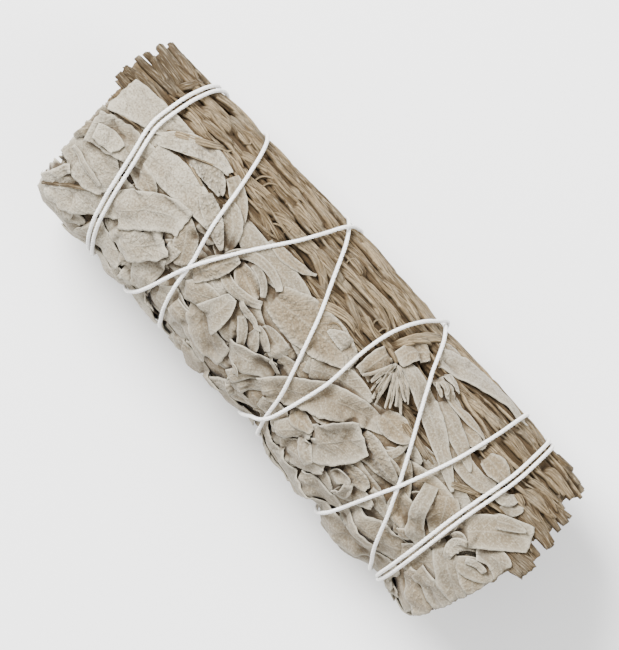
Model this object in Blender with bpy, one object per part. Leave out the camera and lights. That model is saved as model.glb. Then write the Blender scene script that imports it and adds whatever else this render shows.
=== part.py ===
"""A dried sage bunch: leafy sprigs and bare stems laid side by side, wrapped criss-cross with one cotton string.

The bunch lies along X on the plane z = 0. Lengths are in millimetres until a mesh is made. A place on the bunch is
(x, angle, radius): the angle runs round the X axis from +Y over the top (90 degrees) to -Y and underneath.
"""

import math
import random

import bmesh
import bpy
import numpy as np
from mathutils import Matrix

MM = 0.001

# The bundle's outline: x, radius on the stem side (+Y), on the leaf side (-Y) and underneath
OUTLINE = (
    (-52.0, 16.2, 16.4, 15.8),
    (-47.0, 16.5, 18.0, 16.0),
    (-37.0, 17.4, 18.6, 16.3),
    (-25.0, 17.6, 18.0, 19.0),
    (-16.0, 17.9, 17.8, 16.3),
    (-6.0, 18.6, 17.5, 16.2),
    (4.0, 18.4, 17.5, 16.2),
    (14.0, 18.5, 18.7, 16.3),
    (26.0, 18.5, 19.2, 19.0),
    (36.0, 18.6, 19.2, 16.3),
    (44.0, 18.4, 18.4, 16.0),
    (52.0, 17.0, 16.0, 15.6),
)
TOP_RADIUS = 16.5
CENTRE_HEIGHT = 17.5
LEFT_END, LEFT_END_CROWN = -49.3, 2.2
RIGHT_END, RIGHT_END_CROWN = 47.0, 3.6
NOMINAL_RADIUS = 17.5
INSET = 0.45

# Leaf blades
LONGER = (10.0, 22.0)
WIDER = 9.0
BLADE = 0.62
SINK = 0.45
PROUD = 0.42
GAP = 0.38
LEAST_GAP = 0.32
LIFT = 0.6
FOLD_SPAN = (0.08, 0.92)
FREE_LIFT = 0.25
# Which node a blade grows on: the share that is sunk into it, and bonuses for lying low, at home and on a sprig
LEAST_SHARE, ENOUGH_SUNK = 0.05, 0.4
HEIGHT_SCORE = 0.25
HOME_SCORE = 0.15
SPRIG_SCORE = 0.6

# The sprigs' packed middles, and the stems
SPRIGS = 6
LEAF_SECTOR = (84.0, 320.0)
SECTOR_EDGE, SECTOR_BLEND = 2.0, 22.0
CORE_INSET = 4.3
CORE_INNER = 4.95
CORE_ENDS = (-48.0, 45.5)
CORE_STATIONS = 13
CORE_SIDES = 5
CORE_BLUR = 3.0
SPRIG_STEM = (2.7, 7.4)
CLEARANCE = 0.32
HALF_GAP = 0.18
HOLE_DIAMETER, HOLE_LENGTH = 3.44, 120.0
# Layers of bare stems, outermost first: name, how many, depth of the middle under the outline, first angle, arc apart
STEM_LAYERS = (
    ("outer", 9, 2.05, 78.0, 3.66),
    ("middle", 7, 5.45, 72.0, 3.4),
    ("deep", 5, 8.6, 66.0, 3.1),
)
STEM_WIDTHS = (2.5, 3.5)
STEM_TAPER = 0.1
STEM_LEFT, STEM_RIGHT, STEM_RAGGED = -52.4, 50.0, (1.3, 2.6)
# Stems in the middle: how many round the centre one, their diameter, and how far out they lie
INNER_STEMS = (6, 2.8, 3.2)
INNER_LONGER = 2.0
# How far the layers of stems swing to and fro in degrees, and the length that sets how fast
SWAY, SWAY_LENGTH = 2.2, 15.0

# The string
STRING = 1.05
STRING_GAP = 0.25
STRING_CLEAR = 0.36
STRING_STEP = 5.1
# The tightest bend of the string, how far along it one point holds up another, and how often that is worked through
STRING_BEND = 7.0
STRING_SPAN = 14.0
STRING_ROUNDS = 3
# The angle between points of the route in degrees, how many of them it is smoothed over, and how many make a new pass
ROUTE_STEP = 1.5
ROUTE_BLUR = 4.5
LATER_POINTS = 60
GROUND_GAP = 0.04
STRANDS_APART = 1.35
# How far the string pulls the leaves in, over what width, and how much further where passes meet
PINCH = 1.0
PINCH_WIDTH = 2.3
PINCH_QUANTILE = 0.8
MOST_PINCH = 1.25
# The last change of radius, beyond a base radius: its limits, and the blurs of the laid surface and of the change
SCALE_LIMITS = (0.8, 1.15)
SCALE_BASE = 8.0
MEAN_BLUR, SCALE_BLUR = 3.5, 1.5
# How often the leaves are laid again on middles that give way, how far they give way, and their least radius
SETTLINGS = 4
GIVE = (-2.2, 6.0)
GIVE_BLUR = 2.5
LEAST_CORE = 9.9
# How much further they give way under the string, and how far over its target surface the string may lie
PRESS = 2.2
SNUG = 0.45
KNOT_ANGLE = 215.0
KNOT_X = -35.0
KNOT_RADIUS, KNOT_LIFT = 1.7, 0.5
# The string's tails: how far each slants along X for its length, and that length
TAILS = ((0.6, 5.0), (-0.6, 6.5))
TAIL_RISE = 0.25

# Each pass over the top, from the stem side to the leaf side, as (x, y) seen from above
FIRST_WRAP = (
    (-41.3, 16.7), (-42.9, 12.6), (-43.8, 4.3), (-41.9, -1.3), (-40.5, -6.9), (-39.1, -12.0), (-35.5, -18.2)
)
PASS_A = ((-29.9, 17.4), (-26.0, 6.9), (-24.7, 0.6), (-22.3, -6.3), (-21.3, -11.7), (-18.9, -16.9))
PASS_B = ((-8.0, 18.2), (-12.8, 9.9), (-18.3, 0.8), (-22.2, -7.0), (-23.4, -11.8), (-25.1, -17.0))
PASS_C = ((-10.2, 18.0), (-5.3, 10.5), (-1.4, 3.5), (2.1, -5.1), (4.0, -9.9), (5.6, -16.9))
PASS_D = (
    (13.3, 18.4), (10.0, 14.7), (8.3, 10.7), (7.6, 4.7), (7.9, -2.6), (6.8, -9.1), (5.7, -14.2), (1.9, -17.4)
)
PASS_E = ((14.1, 18.0), (17.0, 13.1), (20.3, 7.4), (26.5, -2.4), (31.1, -10.8), (35.4, -18.6))
PASS_F = ((34.0, 18.4), (33.1, 12.8), (31.5, 4.8), (28.4, -5.5), (26.2, -11.0), (23.1, -18.6))
LAST_WRAP = ((40.4, 18.3), (40.4, 10.0), (38.8, -1.7), (38.3, -10.4), (37.7, -18.6))
# The order in which the string is wound, with each pass's shift along X
WINDING = (
    (FIRST_WRAP, -STRANDS_APART / 2),
    (PASS_A, 0.0),
    (PASS_C, 0.0),
    (PASS_E, 0.0),
    (LAST_WRAP, -STRANDS_APART / 2),
    (LAST_WRAP, STRANDS_APART / 2),
    (PASS_F, 0.0),
    (PASS_D, 0.0),
    (PASS_B, 0.0),
    (FIRST_WRAP, STRANDS_APART / 2),
)

TIP_FULLNESS = 0.8
# Leaf outlines: width at the base and at the tip as shares of the widest, and where that is
CUT = (0.95, 0.35, 0.35)
OVAL = (0.35, 0.3, 0.5)
LANCE = (0.4, 0.14, 0.4)
STRIP = (0.75, 0.6, 0.5)
TORN = (0.8, 0.85, 0.5)
TRIANGLE = (0.95, 0.15, 0.12)
CUT_TIP = (0.4, 0.9, 0.7)
FAN = (0.2, 0.85, 0.85)

# The leaves seen from above, lowest first: base x, y, tip x, y, width, outline, bow to the left as a share of the
# length, fold along the middle (ridge +, valley -), and how far the left edge, right edge and tip curl up
LEAVES = (
    (-51.0, -4.0, -42.5, -2.5, 5.7, CUT, 0.0, 0.0, 0.0, 0.0, 0.0),
    (-48.0, -17.0, -35.0, -14.7, 5.5, CUT, 0.05, 0.0, 0.3, 0.0, 0.0),
    (-33.5, -15.8, -23.5, -14.8, 5.7, OVAL, 0.0, 0.4, 0.0, 0.0, 0.3),
    (-21.0, -10.5, -11.5, -9.0, 6.5, OVAL, 0.0, 0.0, 0.0, 0.0, 0.0),
    (-26.5, -17.4, 3.0, -17.4, 4.2, STRIP, 0.0, 0.2, 0.3, 0.0, 0.0),
    (9.5, -17.8, 22.5, -18.8, 4.5, STRIP, -0.05, 0.2, 0.0, 0.0, 0.0),
    (21.5, -18.8, 37.5, -18.6, 5.0, STRIP, 0.0, 0.0, 0.0, 0.3, 0.0),
    (27.0, -5.5, 37.0, -9.5, 6.4, OVAL, 0.05, 0.0, 0.0, 0.0, 0.0),
    (14.0, 3.5, 24.0, -1.5, 9.0, OVAL, 0.0, 0.0, 0.0, 0.0, 0.0),
    (29.5, -12.0, 39.0, -12.5, 6.5, OVAL, 0.0, 0.3, 0.0, 0.0, 0.0),
    (24.0, -15.5, 36.5, -12.5, 6.0, OVAL, 0.0, 0.0, 0.3, 0.0, 0.0),
    (36.0, -18.6, 47.5, -15.3, 5.5, CUT_TIP, 0.0, 0.3, 0.0, 0.0, 0.5),
    (-23.0, 6.6, -9.5, 1.5, 6.2, TRIANGLE, 0.05, 0.0, 0.0, 0.3, 0.0),
    (-41.5, 0.6, -24.0, -0.5, 5.0, LANCE, -0.06, 0.3, 0.0, 0.0, 0.0),
    (13.0, 10.2, 20.5, 9.4, 3.6, OVAL, 0.1, 0.3, 0.0, 0.0, 0.0),
    (-51.5, 2.4, -40.0, 3.8, 8.0, CUT, 0.04, 0.3, 0.0, 0.0, 0.0),
    (-51.0, -5.6, -42.0, -4.0, 4.2, CUT, -0.05, 0.4, 0.3, 0.0, 0.2),
    (-50.5, -9.4, -39.5, -9.3, 6.6, CUT, 0.04, 0.7, 0.0, 0.3, 0.0),
    (-41.5, -4.0, -24.5, -1.5, 4.0, LANCE, -0.05, -0.4, 0.3, 0.0, 0.0),
    (-31.0, 4.5, -22.0, -1.4, 4.0, OVAL, 0.05, 0.5, 0.0, 0.0, 0.0),
    (-29.0, -1.8, -21.5, -8.3, 4.8, OVAL, 0.0, 0.3, 0.0, 0.0, 0.0),
    (-21.5, -14.5, 0.0, -16.2, 4.8, LANCE, 0.04, 0.3, 0.0, 0.0, 0.3),
    (-17.0, -0.6, -9.5, -2.0, 5.0, OVAL, 0.0, -0.7, 0.6, 0.5, 0.0),
    (-11.5, -5.5, -6.5, -10.0, 3.8, TORN, 0.0, 0.7, 0.0, 0.0, 0.5),
    (-9.5, -14.0, -2.5, -12.3, 4.4, OVAL, 0.08, 0.4, 0.0, 0.6, 0.3),
    (0.9, -5.0, 2.1, -10.2, 4.0, OVAL, 0.06, 0.5, 0.6, 0.0, 0.0),
    (1.0, -4.2, 15.0, 0.8, 5.0, OVAL, 0.05, 0.4, 0.0, 0.5, 0.0),
    (-2.0, -14.8, 8.0, -7.8, 6.0, OVAL, 0.05, 0.0, 0.0, 0.0, 0.0),
    (5.5, -15.6, 14.5, -13.5, 6.2, TORN, 0.0, 0.6, 0.3, 0.4, 0.3),
    (15.0, -4.2, 28.5, -6.3, 6.4, OVAL, 0.03, 0.2, 0.0, 0.0, 0.0),
    (35.5, -12.8, 47.5, -13.3, 6.4, CUT_TIP, 0.04, 0.3, 0.0, 0.0, 0.3),
    (41.5, -6.9, 50.0, -4.9, 4.8, OVAL, 0.0, -0.5, 0.6, 0.5, 0.3),
    (22.0, 10.6, 34.5, 4.7, 4.6, STRIP, 0.0, 0.3, 0.3, 0.0, 0.0),
    (33.0, 4.6, 40.0, 7.6, 4.8, OVAL, -0.1, 0.3, 0.0, 0.5, 0.0),
    (34.0, 1.6, 39.5, -8.2, 6.0, TORN, 0.0, 0.3, 0.0, 0.3, 0.0),
    (31.0, 0.4, 38.3, -10.4, 3.2, STRIP, 0.05, 0.4, 0.0, 0.0, 0.0),
    (-49.5, -15.7, -39.5, -10.2, 6.4, CUT, 0.0, 0.6, 0.3, 0.0, 0.0),
    (-39.0, -13.0, -26.3, -3.4, 9.2, TORN, 0.04, 0.4, 0.0, 0.4, 0.4),
    (-36.0, 3.6, -26.5, 6.8, 6.0, OVAL, -0.05, 0.0, 0.0, 0.5, 0.3),
    (-7.5, -3.5, -0.8, -6.3, 4.6, TRIANGLE, 0.0, 0.5, 0.4, 0.3, 0.5),
    (-13.8, -5.0, -9.0, -15.6, 6.6, OVAL, 0.03, 0.9, 0.0, 0.0, 0.3),
    (-8.3, -12.7, 0.0, -7.5, 5.0, TORN, 0.05, 0.4, 0.0, 0.5, 0.0),
    (-12.0, -0.8, 8.8, 0.7, 10.3, OVAL, 0.0, 0.2, 0.5, 0.4, 0.0),
    (8.0, -17.0, 18.6, -12.6, 5.0, OVAL, 0.05, 0.4, 0.3, 0.0, 0.8),
    (16.3, -10.3, 26.0, -10.4, 4.2, OVAL, 0.0, 0.5, 0.0, 0.0, 0.0),
    (18.0, -14.4, 24.2, -12.6, 4.2, OVAL, 0.0, -0.6, 0.6, 0.7, 0.4),
    (13.0, 10.0, 34.3, 1.0, 4.5, LANCE, 0.03, 0.5, 0.0, 0.0, 0.0),
    (38.0, -7.6, 50.3, -10.6, 5.0, CUT_TIP, -0.04, 0.5, 0.0, 0.3, 0.3),
    (45.1, -1.5, 50.3, -4.6, 4.2, OVAL, 0.15, 0.7, 0.3, 0.3, 0.0),
    (40.5, 5.2, 47.0, 6.6, 4.2, OVAL, 0.0, 0.3, 0.4, 0.0, 0.4),
    (14.5, 17.2, 21.0, 16.9, 3.8, OVAL, 0.0, 0.3, 0.0, 0.3, 0.0),
    (-43.5, 2.0, -30.5, 10.6, 6.3, OVAL, 0.05, 0.5, 0.0, 0.4, 0.3),
    (-21.0, -10.0, -8.0, 1.8, 4.8, LANCE, 0.22, 0.6, 0.3, 0.7, 0.3),
    (1.2, -13.6, 20.5, -0.2, 6.2, OVAL, -0.03, 0.3, 0.0, 0.4, 0.4),
    (12.0, -5.2, 19.6, -11.5, 9.2, TORN, 0.0, 0.4, 0.4, 0.4, 0.5),
    (0.8, 3.8, 6.4, 2.6, 3.4, TRIANGLE, 0.0, 0.7, 0.3, 0.3, 0.5),
    (40.0, -4.0, 50.3, 4.7, 6.4, TORN, 0.03, 0.7, 0.4, 0.3, 0.3),
    (13.6, 7.6, 14.2, 0.8, 7.0, FAN, 0.0, 0.0, 0.0, 0.0, 0.4),
    (16.0, 14.5, 34.5, 18.0, 6.6, LANCE, 0.05, 0.4, 0.3, 0.0, 0.3),
    (9.3, 4.0, 16.8, 15.2, 4.2, STRIP, 0.16, 0.5, 0.3, 0.5, 0.0),
)
# The leaves on the hidden side are drawn from a seeded random
SEED = 41
HIDDEN_LEAVES = 15
HIDDEN_SIZE = ((24.0, 36.0), (9.0, 14.0))
HIDDEN_SECTOR = (196.0, 310.0)
HIDDEN_CHOICES = 6
END_MARGIN = 4.0
MOST_TURN = 24.0
HIDDEN_CORNERS = (5, 3)

COLOURS = {
    "sage_leaf": ((0.56, 0.54, 0.47, 1.0), 0.9),
    "sage_stem": ((0.36, 0.28, 0.18, 1.0), 0.85),
    "cotton": ((0.88, 0.87, 0.84, 1.0), 0.9),
}

# How many times closer than its corners a blade's height is tested, and a shape is marked on the grid
FINE = 6
DENSE = 24
# How near a corner the highest point is looked for, as a share of the way to the next, at first and when mending
NEAR, MEND_NEAR = 0.34, 0.67
MEND_ROUNDS = 8
MEND_DONE = 0.01
SOFTEN = 1.2
SUNK_DEPTH = 0.15

GROUND_SIZE = 200.0

# The grid on which the surface of what is already laid is kept
CELL = 0.5
ANGLE_CELLS = 240
GRID_X = np.arange(-58.0, 58.01, CELL)
GRID_ANGLE = np.arange(ANGLE_CELLS) * 2 * math.pi / ANGLE_CELLS


# Places on the bundle


def outline_radius(x, angle):
    """The bundle's radius at x and angle, before the string pulls it in."""
    stations = np.array(OUTLINE)
    side = np.where(
        np.cos(angle) > 0,
        np.interp(x, stations[:, 0], stations[:, 1]),
        np.interp(x, stations[:, 0], stations[:, 2]),
    )
    upright = np.where(np.sin(angle) > 0, TOP_RADIUS, np.interp(x, stations[:, 0], stations[:, 3]))
    return 1 / np.sqrt((np.cos(angle) / side) ** 2 + (np.sin(angle) / upright) ** 2)


def angle_above(x, y):
    """The angle of the surface point that is seen from above at x, y."""
    side = float(outline_radius(x, 0.0 if y > 0 else math.pi))
    across = max(-0.995, min(0.995, y / side))
    return math.atan2(TOP_RADIUS * math.sqrt(1 - across**2), side * across)


def cartesian(x, angle, radius):
    return np.stack(
        [x + 0 * radius, radius * np.cos(angle), CENTRE_HEIGHT + radius * np.sin(angle)], axis=-1
    )


def cylindrical(points):
    y, z = points[..., 1], points[..., 2] - CENTRE_HEIGHT
    return points[..., 0], np.arctan2(z, y), np.hypot(y, z)


def cells_of(x, angle):
    row = np.clip(np.round((x - GRID_X[0]) / CELL).astype(int), 0, len(GRID_X) - 1)
    column = np.round(angle / (2 * math.pi) * ANGLE_CELLS).astype(int) % ANGLE_CELLS
    return row, column


def blurred(field, width):
    """A Gaussian blur over the grid, which is closed round the bundle."""
    reach = int(3 * width / CELL) + 1
    kernel = np.exp(-0.5 * (np.arange(-reach, reach + 1) * CELL / width) ** 2)
    kernel /= kernel.sum()
    padded = np.pad(field, ((reach, reach), (0, 0)), mode="edge")
    rows = sum(k * padded[i : i + len(field)] for i, k in enumerate(kernel))
    return sum(k * np.roll(rows, i - reach, axis=1) for i, k in enumerate(kernel))


def spread(field, reach):
    """Each cell's highest neighbour within reach."""
    cells = int(math.ceil(reach / CELL))
    wide = field
    for step in range(1, cells + 1):
        wide = np.maximum(wide, np.maximum(np.roll(field, step, 1), np.roll(field, -step, 1)))
    padded = np.pad(wide, ((cells, cells), (0, 0)), mode="edge")
    return np.max([padded[i : i + len(field)] for i in range(2 * cells + 1)], axis=0)


# Meshes and objects


def new_material(name):
    colour, roughness = COLOURS[name]
    material = bpy.data.materials.new(name)
    material.use_nodes = True
    shader = material.node_tree.nodes["Principled BSDF"]
    shader.inputs["Base Color"].default_value = colour
    shader.inputs["Roughness"].default_value = roughness
    material.diffuse_color = colour
    return material


def object_from(name, points, faces, material=None):
    """A mesh object from points in millimetres."""
    mesh = bpy.data.meshes.new(name)
    mesh.from_pydata([tuple(MM * float(c) for c in p) for p in points], [], faces)
    obj = bpy.data.objects.new(name, mesh)
    bpy.context.scene.collection.objects.link(obj)
    if material:
        mesh.materials.append(material)
    return obj


def face_outwards(obj):
    shape = bmesh.new()
    shape.from_mesh(obj.data)
    bmesh.ops.recalc_face_normals(shape, faces=shape.faces)
    shape.to_mesh(obj.data)
    shape.free()


def keep_largest_body(obj):
    """Drops loose scraps, and fills hollows that fusing sealed, by keeping the shell with the largest volume."""
    shape = bmesh.new()
    shape.from_mesh(obj.data)
    left = set(shape.faces)
    bodies = []
    while left:
        body, edge = set(), [next(iter(left))]
        while edge:
            face = edge.pop()
            if face in body:
                continue
            body.add(face)
            for side in face.edges:
                if len(side.link_faces) == 2:
                    edge.extend(other for other in side.link_faces if other not in body)
        left -= body
        bodies.append(body)
    largest = max(bodies, key=volume_of)
    scraps = [face for body in bodies if body is not largest for face in body]
    bmesh.ops.delete(shape, geom=scraps, context="FACES")
    shape.to_mesh(obj.data)
    shape.free()


def volume_of(body):
    total = 0.0
    for face in body:
        points = [vertex.co for vertex in face.verts]
        for second, third in zip(points[1:], points[2:]):
            total += points[0].dot(second.cross(third))
    return total


def apply_boolean(obj, operation, others):
    """Fuses or cuts obj with other objects, which are then removed."""
    helpers = bpy.data.collections.new("helpers")
    bpy.context.scene.collection.children.link(helpers)
    for other in others:
        helpers.objects.link(other)
    modifier = obj.modifiers.new(operation.title(), "BOOLEAN")
    modifier.operation = operation
    modifier.operand_type = "COLLECTION"
    modifier.collection = helpers
    modifier.solver = "EXACT"
    bpy.ops.object.select_all(action="DESELECT")
    bpy.context.view_layer.objects.active = obj
    bpy.ops.object.modifier_apply(modifier=modifier.name)
    for other in others:
        bpy.data.objects.remove(other)
    bpy.data.collections.remove(helpers)


# Sweeps


def rings_along(path, diameter, sides):
    """Rings of points round a path of points, without twist."""
    path = np.asarray(path, float)
    along = np.gradient(path, axis=0)
    along /= np.linalg.norm(along, axis=1)[:, None]
    side = np.cross(along[0], (0.0, 0.0, 1.0))
    if np.linalg.norm(side) < 0.1:
        side = np.cross(along[0], (0.0, 1.0, 0.0))
    rings = []
    turns = np.arange(sides) * 2 * math.pi / sides
    diameters = np.broadcast_to(diameter, len(path))
    for point, tangent, diameter in zip(path, along, diameters):
        side = side - tangent * side.dot(tangent)
        side /= np.linalg.norm(side)
        other = np.cross(tangent, side)
        ring = point + diameter / 2 * (np.outer(np.cos(turns), side) + np.outer(np.sin(turns), other))
        rings.append(ring)
    return np.array(rings)


def tube(name, path, diameter, sides, material=None):
    rings = rings_along(path, diameter, sides)
    count = len(rings)
    faces = [
        (i * sides + k, i * sides + (k + 1) % sides, (i + 1) * sides + (k + 1) % sides, (i + 1) * sides + k)
        for i in range(count - 1)
        for k in range(sides)
    ]
    faces.append(tuple(range(sides))[::-1])
    faces.append(tuple((count - 1) * sides + k for k in range(sides)))
    obj = object_from(name, rings.reshape(-1, 3), faces, material)
    face_outwards(obj)
    return obj


# The string's route


def route_over_bundle():
    """x and angle of closely spaced points along the string, in the order of winding."""
    turn = 2 * math.pi
    knots = [(math.radians(KNOT_ANGLE) - turn, KNOT_X)]
    for number, (seen, shift) in enumerate(WINDING):
        for x, y in seen:
            knots.append((number * turn + angle_above(x, y), x + shift))
    knots.append(((len(WINDING) - 1) * turn + math.radians(KNOT_ANGLE), KNOT_X + STRING / 2))
    knots = np.array(knots)
    angle = np.arange(knots[0, 0], knots[-1, 0], math.radians(ROUTE_STEP))
    x = np.interp(angle, knots[:, 0], knots[:, 1])
    reach = int(3 * ROUTE_BLUR)
    kernel = np.exp(-0.5 * (np.arange(-reach, reach + 1) / ROUTE_BLUR) ** 2)
    smooth = np.convolve(np.pad(x, reach, mode="edge"), kernel / kernel.sum(), mode="valid")
    return smooth, angle


def string_pull(route):
    """How far the string pulls the surface in, over the grid: nothing on the side of the bare stems."""
    marks = np.zeros((len(GRID_X), ANGLE_CELLS))
    marks[cells_of(*route)] = 1.0
    pull = blurred(marks, PINCH_WIDTH)
    pull = np.minimum(pull / np.quantile(pull[pull > 0.01], PINCH_QUANTILE), MOST_PINCH) * PINCH
    return pull * leaf_side(GRID_ANGLE)[None, :]


def leaf_side(angle):
    """1 among the leaves and 0 among the outer stems, with a soft change between."""
    degrees = np.degrees(angle) % 360
    start, end = LEAF_SECTOR
    rise = np.clip((degrees - start - SECTOR_EDGE) / SECTOR_BLEND, 0, 1)
    fall = np.clip((end - SECTOR_EDGE - degrees) / SECTOR_BLEND, 0, 1)
    return rise * rise * (3 - 2 * rise) * fall * fall * (3 - 2 * fall)


def floor_radius(angle, lowest):
    """The radius that keeps a point above the given height."""
    down = np.maximum(-np.sin(angle), 1e-6)
    return np.where(np.sin(angle) < -0.2, (CENTRE_HEIGHT - lowest) / down, 1e3)


def string_radius(route, surface, target):
    """The radius of the string's middle along its route, over the surface and over its own earlier passes."""
    x, angle = route
    resting = np.minimum(spread(surface, STRING / 2) + STRING_CLEAR, target + SNUG)
    radius = resting[cells_of(x, angle)] + STRING / 2
    around = NOMINAL_RADIUS * angle
    length = np.concatenate([[0.0], np.cumsum(np.hypot(np.diff(x), np.diff(around)))])
    turn = 2 * math.pi * NOMINAL_RADIUS
    apart = around[:, None] - around[None, :]
    sideways = apart - turn * np.round(apart / turn)
    flat = np.hypot(sideways, x[:, None] - x[None, :])
    reach = STRING + STRING_GAP
    order = np.arange(len(x))
    later = (order[:, None] - order[None, :] > LATER_POINTS) & (flat < reach)
    over = np.sqrt(np.maximum(reach**2 - flat**2, 0.0))
    sag = (length[:, None] - length[None, :]) ** 2 / (2 * STRING_BEND)
    near = np.abs(length[:, None] - length[None, :]) < STRING_SPAN
    for _ in range(STRING_ROUNDS):
        radius = np.max(np.where(near, radius[None, :] - sag, -1e3), axis=1)
        lift = np.where(later, radius[None, :] + over, -1e3).max(axis=1)
        radius = np.maximum(radius, lift)
    ceiling = floor_radius(angle, STRING / 2 + GROUND_GAP)
    for _ in range(STRING_ROUNDS):
        lower = np.where(later.T, ceiling[None, :] - over.T, 1e3).min(axis=1)
        ceiling = np.minimum(ceiling, lower)
        ceiling = np.min(np.where(near, ceiling[None, :] + sag, 1e3), axis=1)
    return np.minimum(radius, ceiling)


# Laying the leaves


class Surface:
    """The highest point of each node's material over the grid."""

    def __init__(self, floor=None):
        self.tops = {}
        self.floor = floor

    def add(self, node, x, angle, radius, reach=0.0):
        """Adds points of a node, and everything within reach of them."""
        top = np.zeros((len(GRID_X), ANGLE_CELLS))
        np.maximum.at(top, cells_of(x, angle), radius)
        if reach:
            top = spread(top, reach)
        self.tops[node] = np.maximum(self.tops.get(node, 0.0), top)

    def others(self, node):
        return np.max([top for name, top in self.tops.items() if name != node], axis=0)

    def whole(self):
        return np.max(list(self.tops.values()), axis=0)

    def hosts(self, x, angle):
        """The nodes whose material is uppermost under these points."""
        rows, columns = cells_of(x, angle)
        names = list(self.tops)
        stack = np.array([self.tops[name][rows, columns] for name in names])
        winners = np.bincount(np.argmax(stack, axis=0).ravel(), minlength=len(names)) / x.size
        return [name for share, name in zip(winners, names) if share > LEAST_SHARE]


def half_width(share, outline):
    """The outline's half width, from 0 to 1, at a share of the length."""
    base, tip, widest = outline
    before = base + (1 - base) * np.sin(math.pi / 2 * np.clip(share / widest, 0, 1))
    beyond = np.clip((share - widest) / (1 - widest), 0, 1)
    after = tip + (1 - tip) * np.cos(math.pi / 2 * beyond) ** TIP_FULLNESS
    return np.where(share < widest, before, after)


def end_limits(angle):
    crown = np.clip(np.sin(angle), 0, 1)
    return LEFT_END - LEFT_END_CROWN * crown, RIGHT_END + RIGHT_END_CROWN * crown**2


def corners_for(leaf):
    """How many corners a blade has along and across, from its length and width."""
    (x0, a0), (x1, a1), width = leaf[:3]
    length = math.hypot(x1 - x0, NOMINAL_RADIUS * (a1 - a0))
    rows = 4 + sum(length > longer for longer in LONGER)
    return rows, 4 if width > WIDER else 3


def leaf_places(leaf, rows, columns):
    """x and angle of a leaf's grid of points, cut off where it passes the bundle's ends."""
    (x0, a0), (x1, a1), width, outline, bow = leaf[:5]
    s0, s1 = NOMINAL_RADIUS * a0, NOMINAL_RADIUS * a1
    length = math.hypot(x1 - x0, s1 - s0)
    along = np.array([x1 - x0, s1 - s0]) / length
    left = np.array([-along[1], along[0]])
    places = np.zeros((rows, columns, 2))
    fine = np.linspace(0, 1, 41)
    for k, v in enumerate(np.linspace(-1, 1, columns)):
        side = v * width / 2 * half_width(fine, outline) + bow * length * 4 * fine * (1 - fine)
        line = np.array([x0, s0]) + np.outer(fine * length, along) + np.outer(side, left)
        low, high = end_limits(line[:, 1] / NOMINAL_RADIUS)
        inside = np.flatnonzero((line[:, 0] > low) & (line[:, 0] < high))
        first, last = (fine[inside[0]], fine[inside[-1]]) if len(inside) > 3 else (0.0, 1.0)
        for axis in range(2):
            places[:, k, axis] = np.interp(np.linspace(first, last, rows), fine, line[:, axis])
    return places[..., 0], places[..., 1] / NOMINAL_RADIUS


def leaf_lift(leaf, rows, columns):
    """How far the leaf stands off, from its fold and its curled edges and tip."""
    fold, curl_left, curl_right, curl_tip = leaf[5:]
    u = np.linspace(0, 1, rows)[:, None]
    v = np.linspace(-1, 1, columns)[None, :]
    ridge = max(fold, 0) * (1 - np.abs(v)) + max(-fold, 0) * np.abs(v)
    edges = curl_right * np.clip(-v, 0, 1) ** 2 + curl_left * np.clip(v, 0, 1) ** 2
    return (ridge + edges) * np.sin(math.pi * np.clip(u, *FOLD_SPAN)) + curl_tip * u**3


def between(values, factor):
    """Values of a grid of points, at points factor times as close."""
    for axis in (0, 1):
        count = values.shape[axis]
        wanted = np.linspace(0, count - 1, (count - 1) * factor + 1)
        low = np.minimum(wanted.astype(int), count - 2)
        part = wanted - low
        values = np.moveaxis(values, axis, -1)
        values = values[..., low] * (1 - part) + values[..., low + 1] * part
        values = np.moveaxis(values, -1, axis)
    return values


def highest_near(values, reach):
    """For each corner of a blade, the highest of the close points within reach of it."""
    rows = (values.shape[0] - 1) // FINE + 1
    columns = (values.shape[1] - 1) // FINE + 1
    span = int(round(FINE * reach))
    found = np.empty((rows, columns))
    for i in range(rows):
        for k in range(columns):
            top, left = max(0, i * FINE - span), max(0, k * FINE - span)
            found[i, k] = values[top : i * FINE + span + 1, left : k * FINE + span + 1].max()
    return found


def blade_heights(surface, node, x, angle, lift):
    """The lower and upper radius of a blade that grows on node, and how much of it is sunk into that node."""
    close_x, close_angle = between(x, FINE), between(angle, FINE)
    cells = cells_of(close_x, close_angle)
    others, own_top = surface.others(node), surface.tops[node]
    bare = surface.floor[cells_of(x, angle)] - SINK
    over_foreign = np.maximum(highest_near(others[cells], NEAR) + GAP, bare)
    over_own = (highest_near(own_top[cells], NEAR) + blurred(own_top, SOFTEN)[cells_of(x, angle)]) / 2
    low = np.maximum(over_foreign, over_own - SINK + np.maximum(0.0, lift - FREE_LIFT))
    high = np.maximum(low + BLADE, over_own + PROUD + lift)
    high = np.maximum(high, over_foreign + BLADE + lift)
    for _ in range(MEND_ROUNDS):
        dense_x, dense_angle, dense_radius = cylindrical(between(cartesian(x, angle, low), FINE))
        short = others[cells_of(dense_x, dense_angle)] + LEAST_GAP - dense_radius
        if short.max() < MEND_DONE:
            break
        raised = highest_near(np.maximum(short, 0.0), MEND_NEAR)
        low, high = low + raised, high + raised
    sunk = own_top[cells_of(dense_x, dense_angle)] - dense_radius > SUNK_DEPTH
    return low, high, float(sunk.mean())


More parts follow.
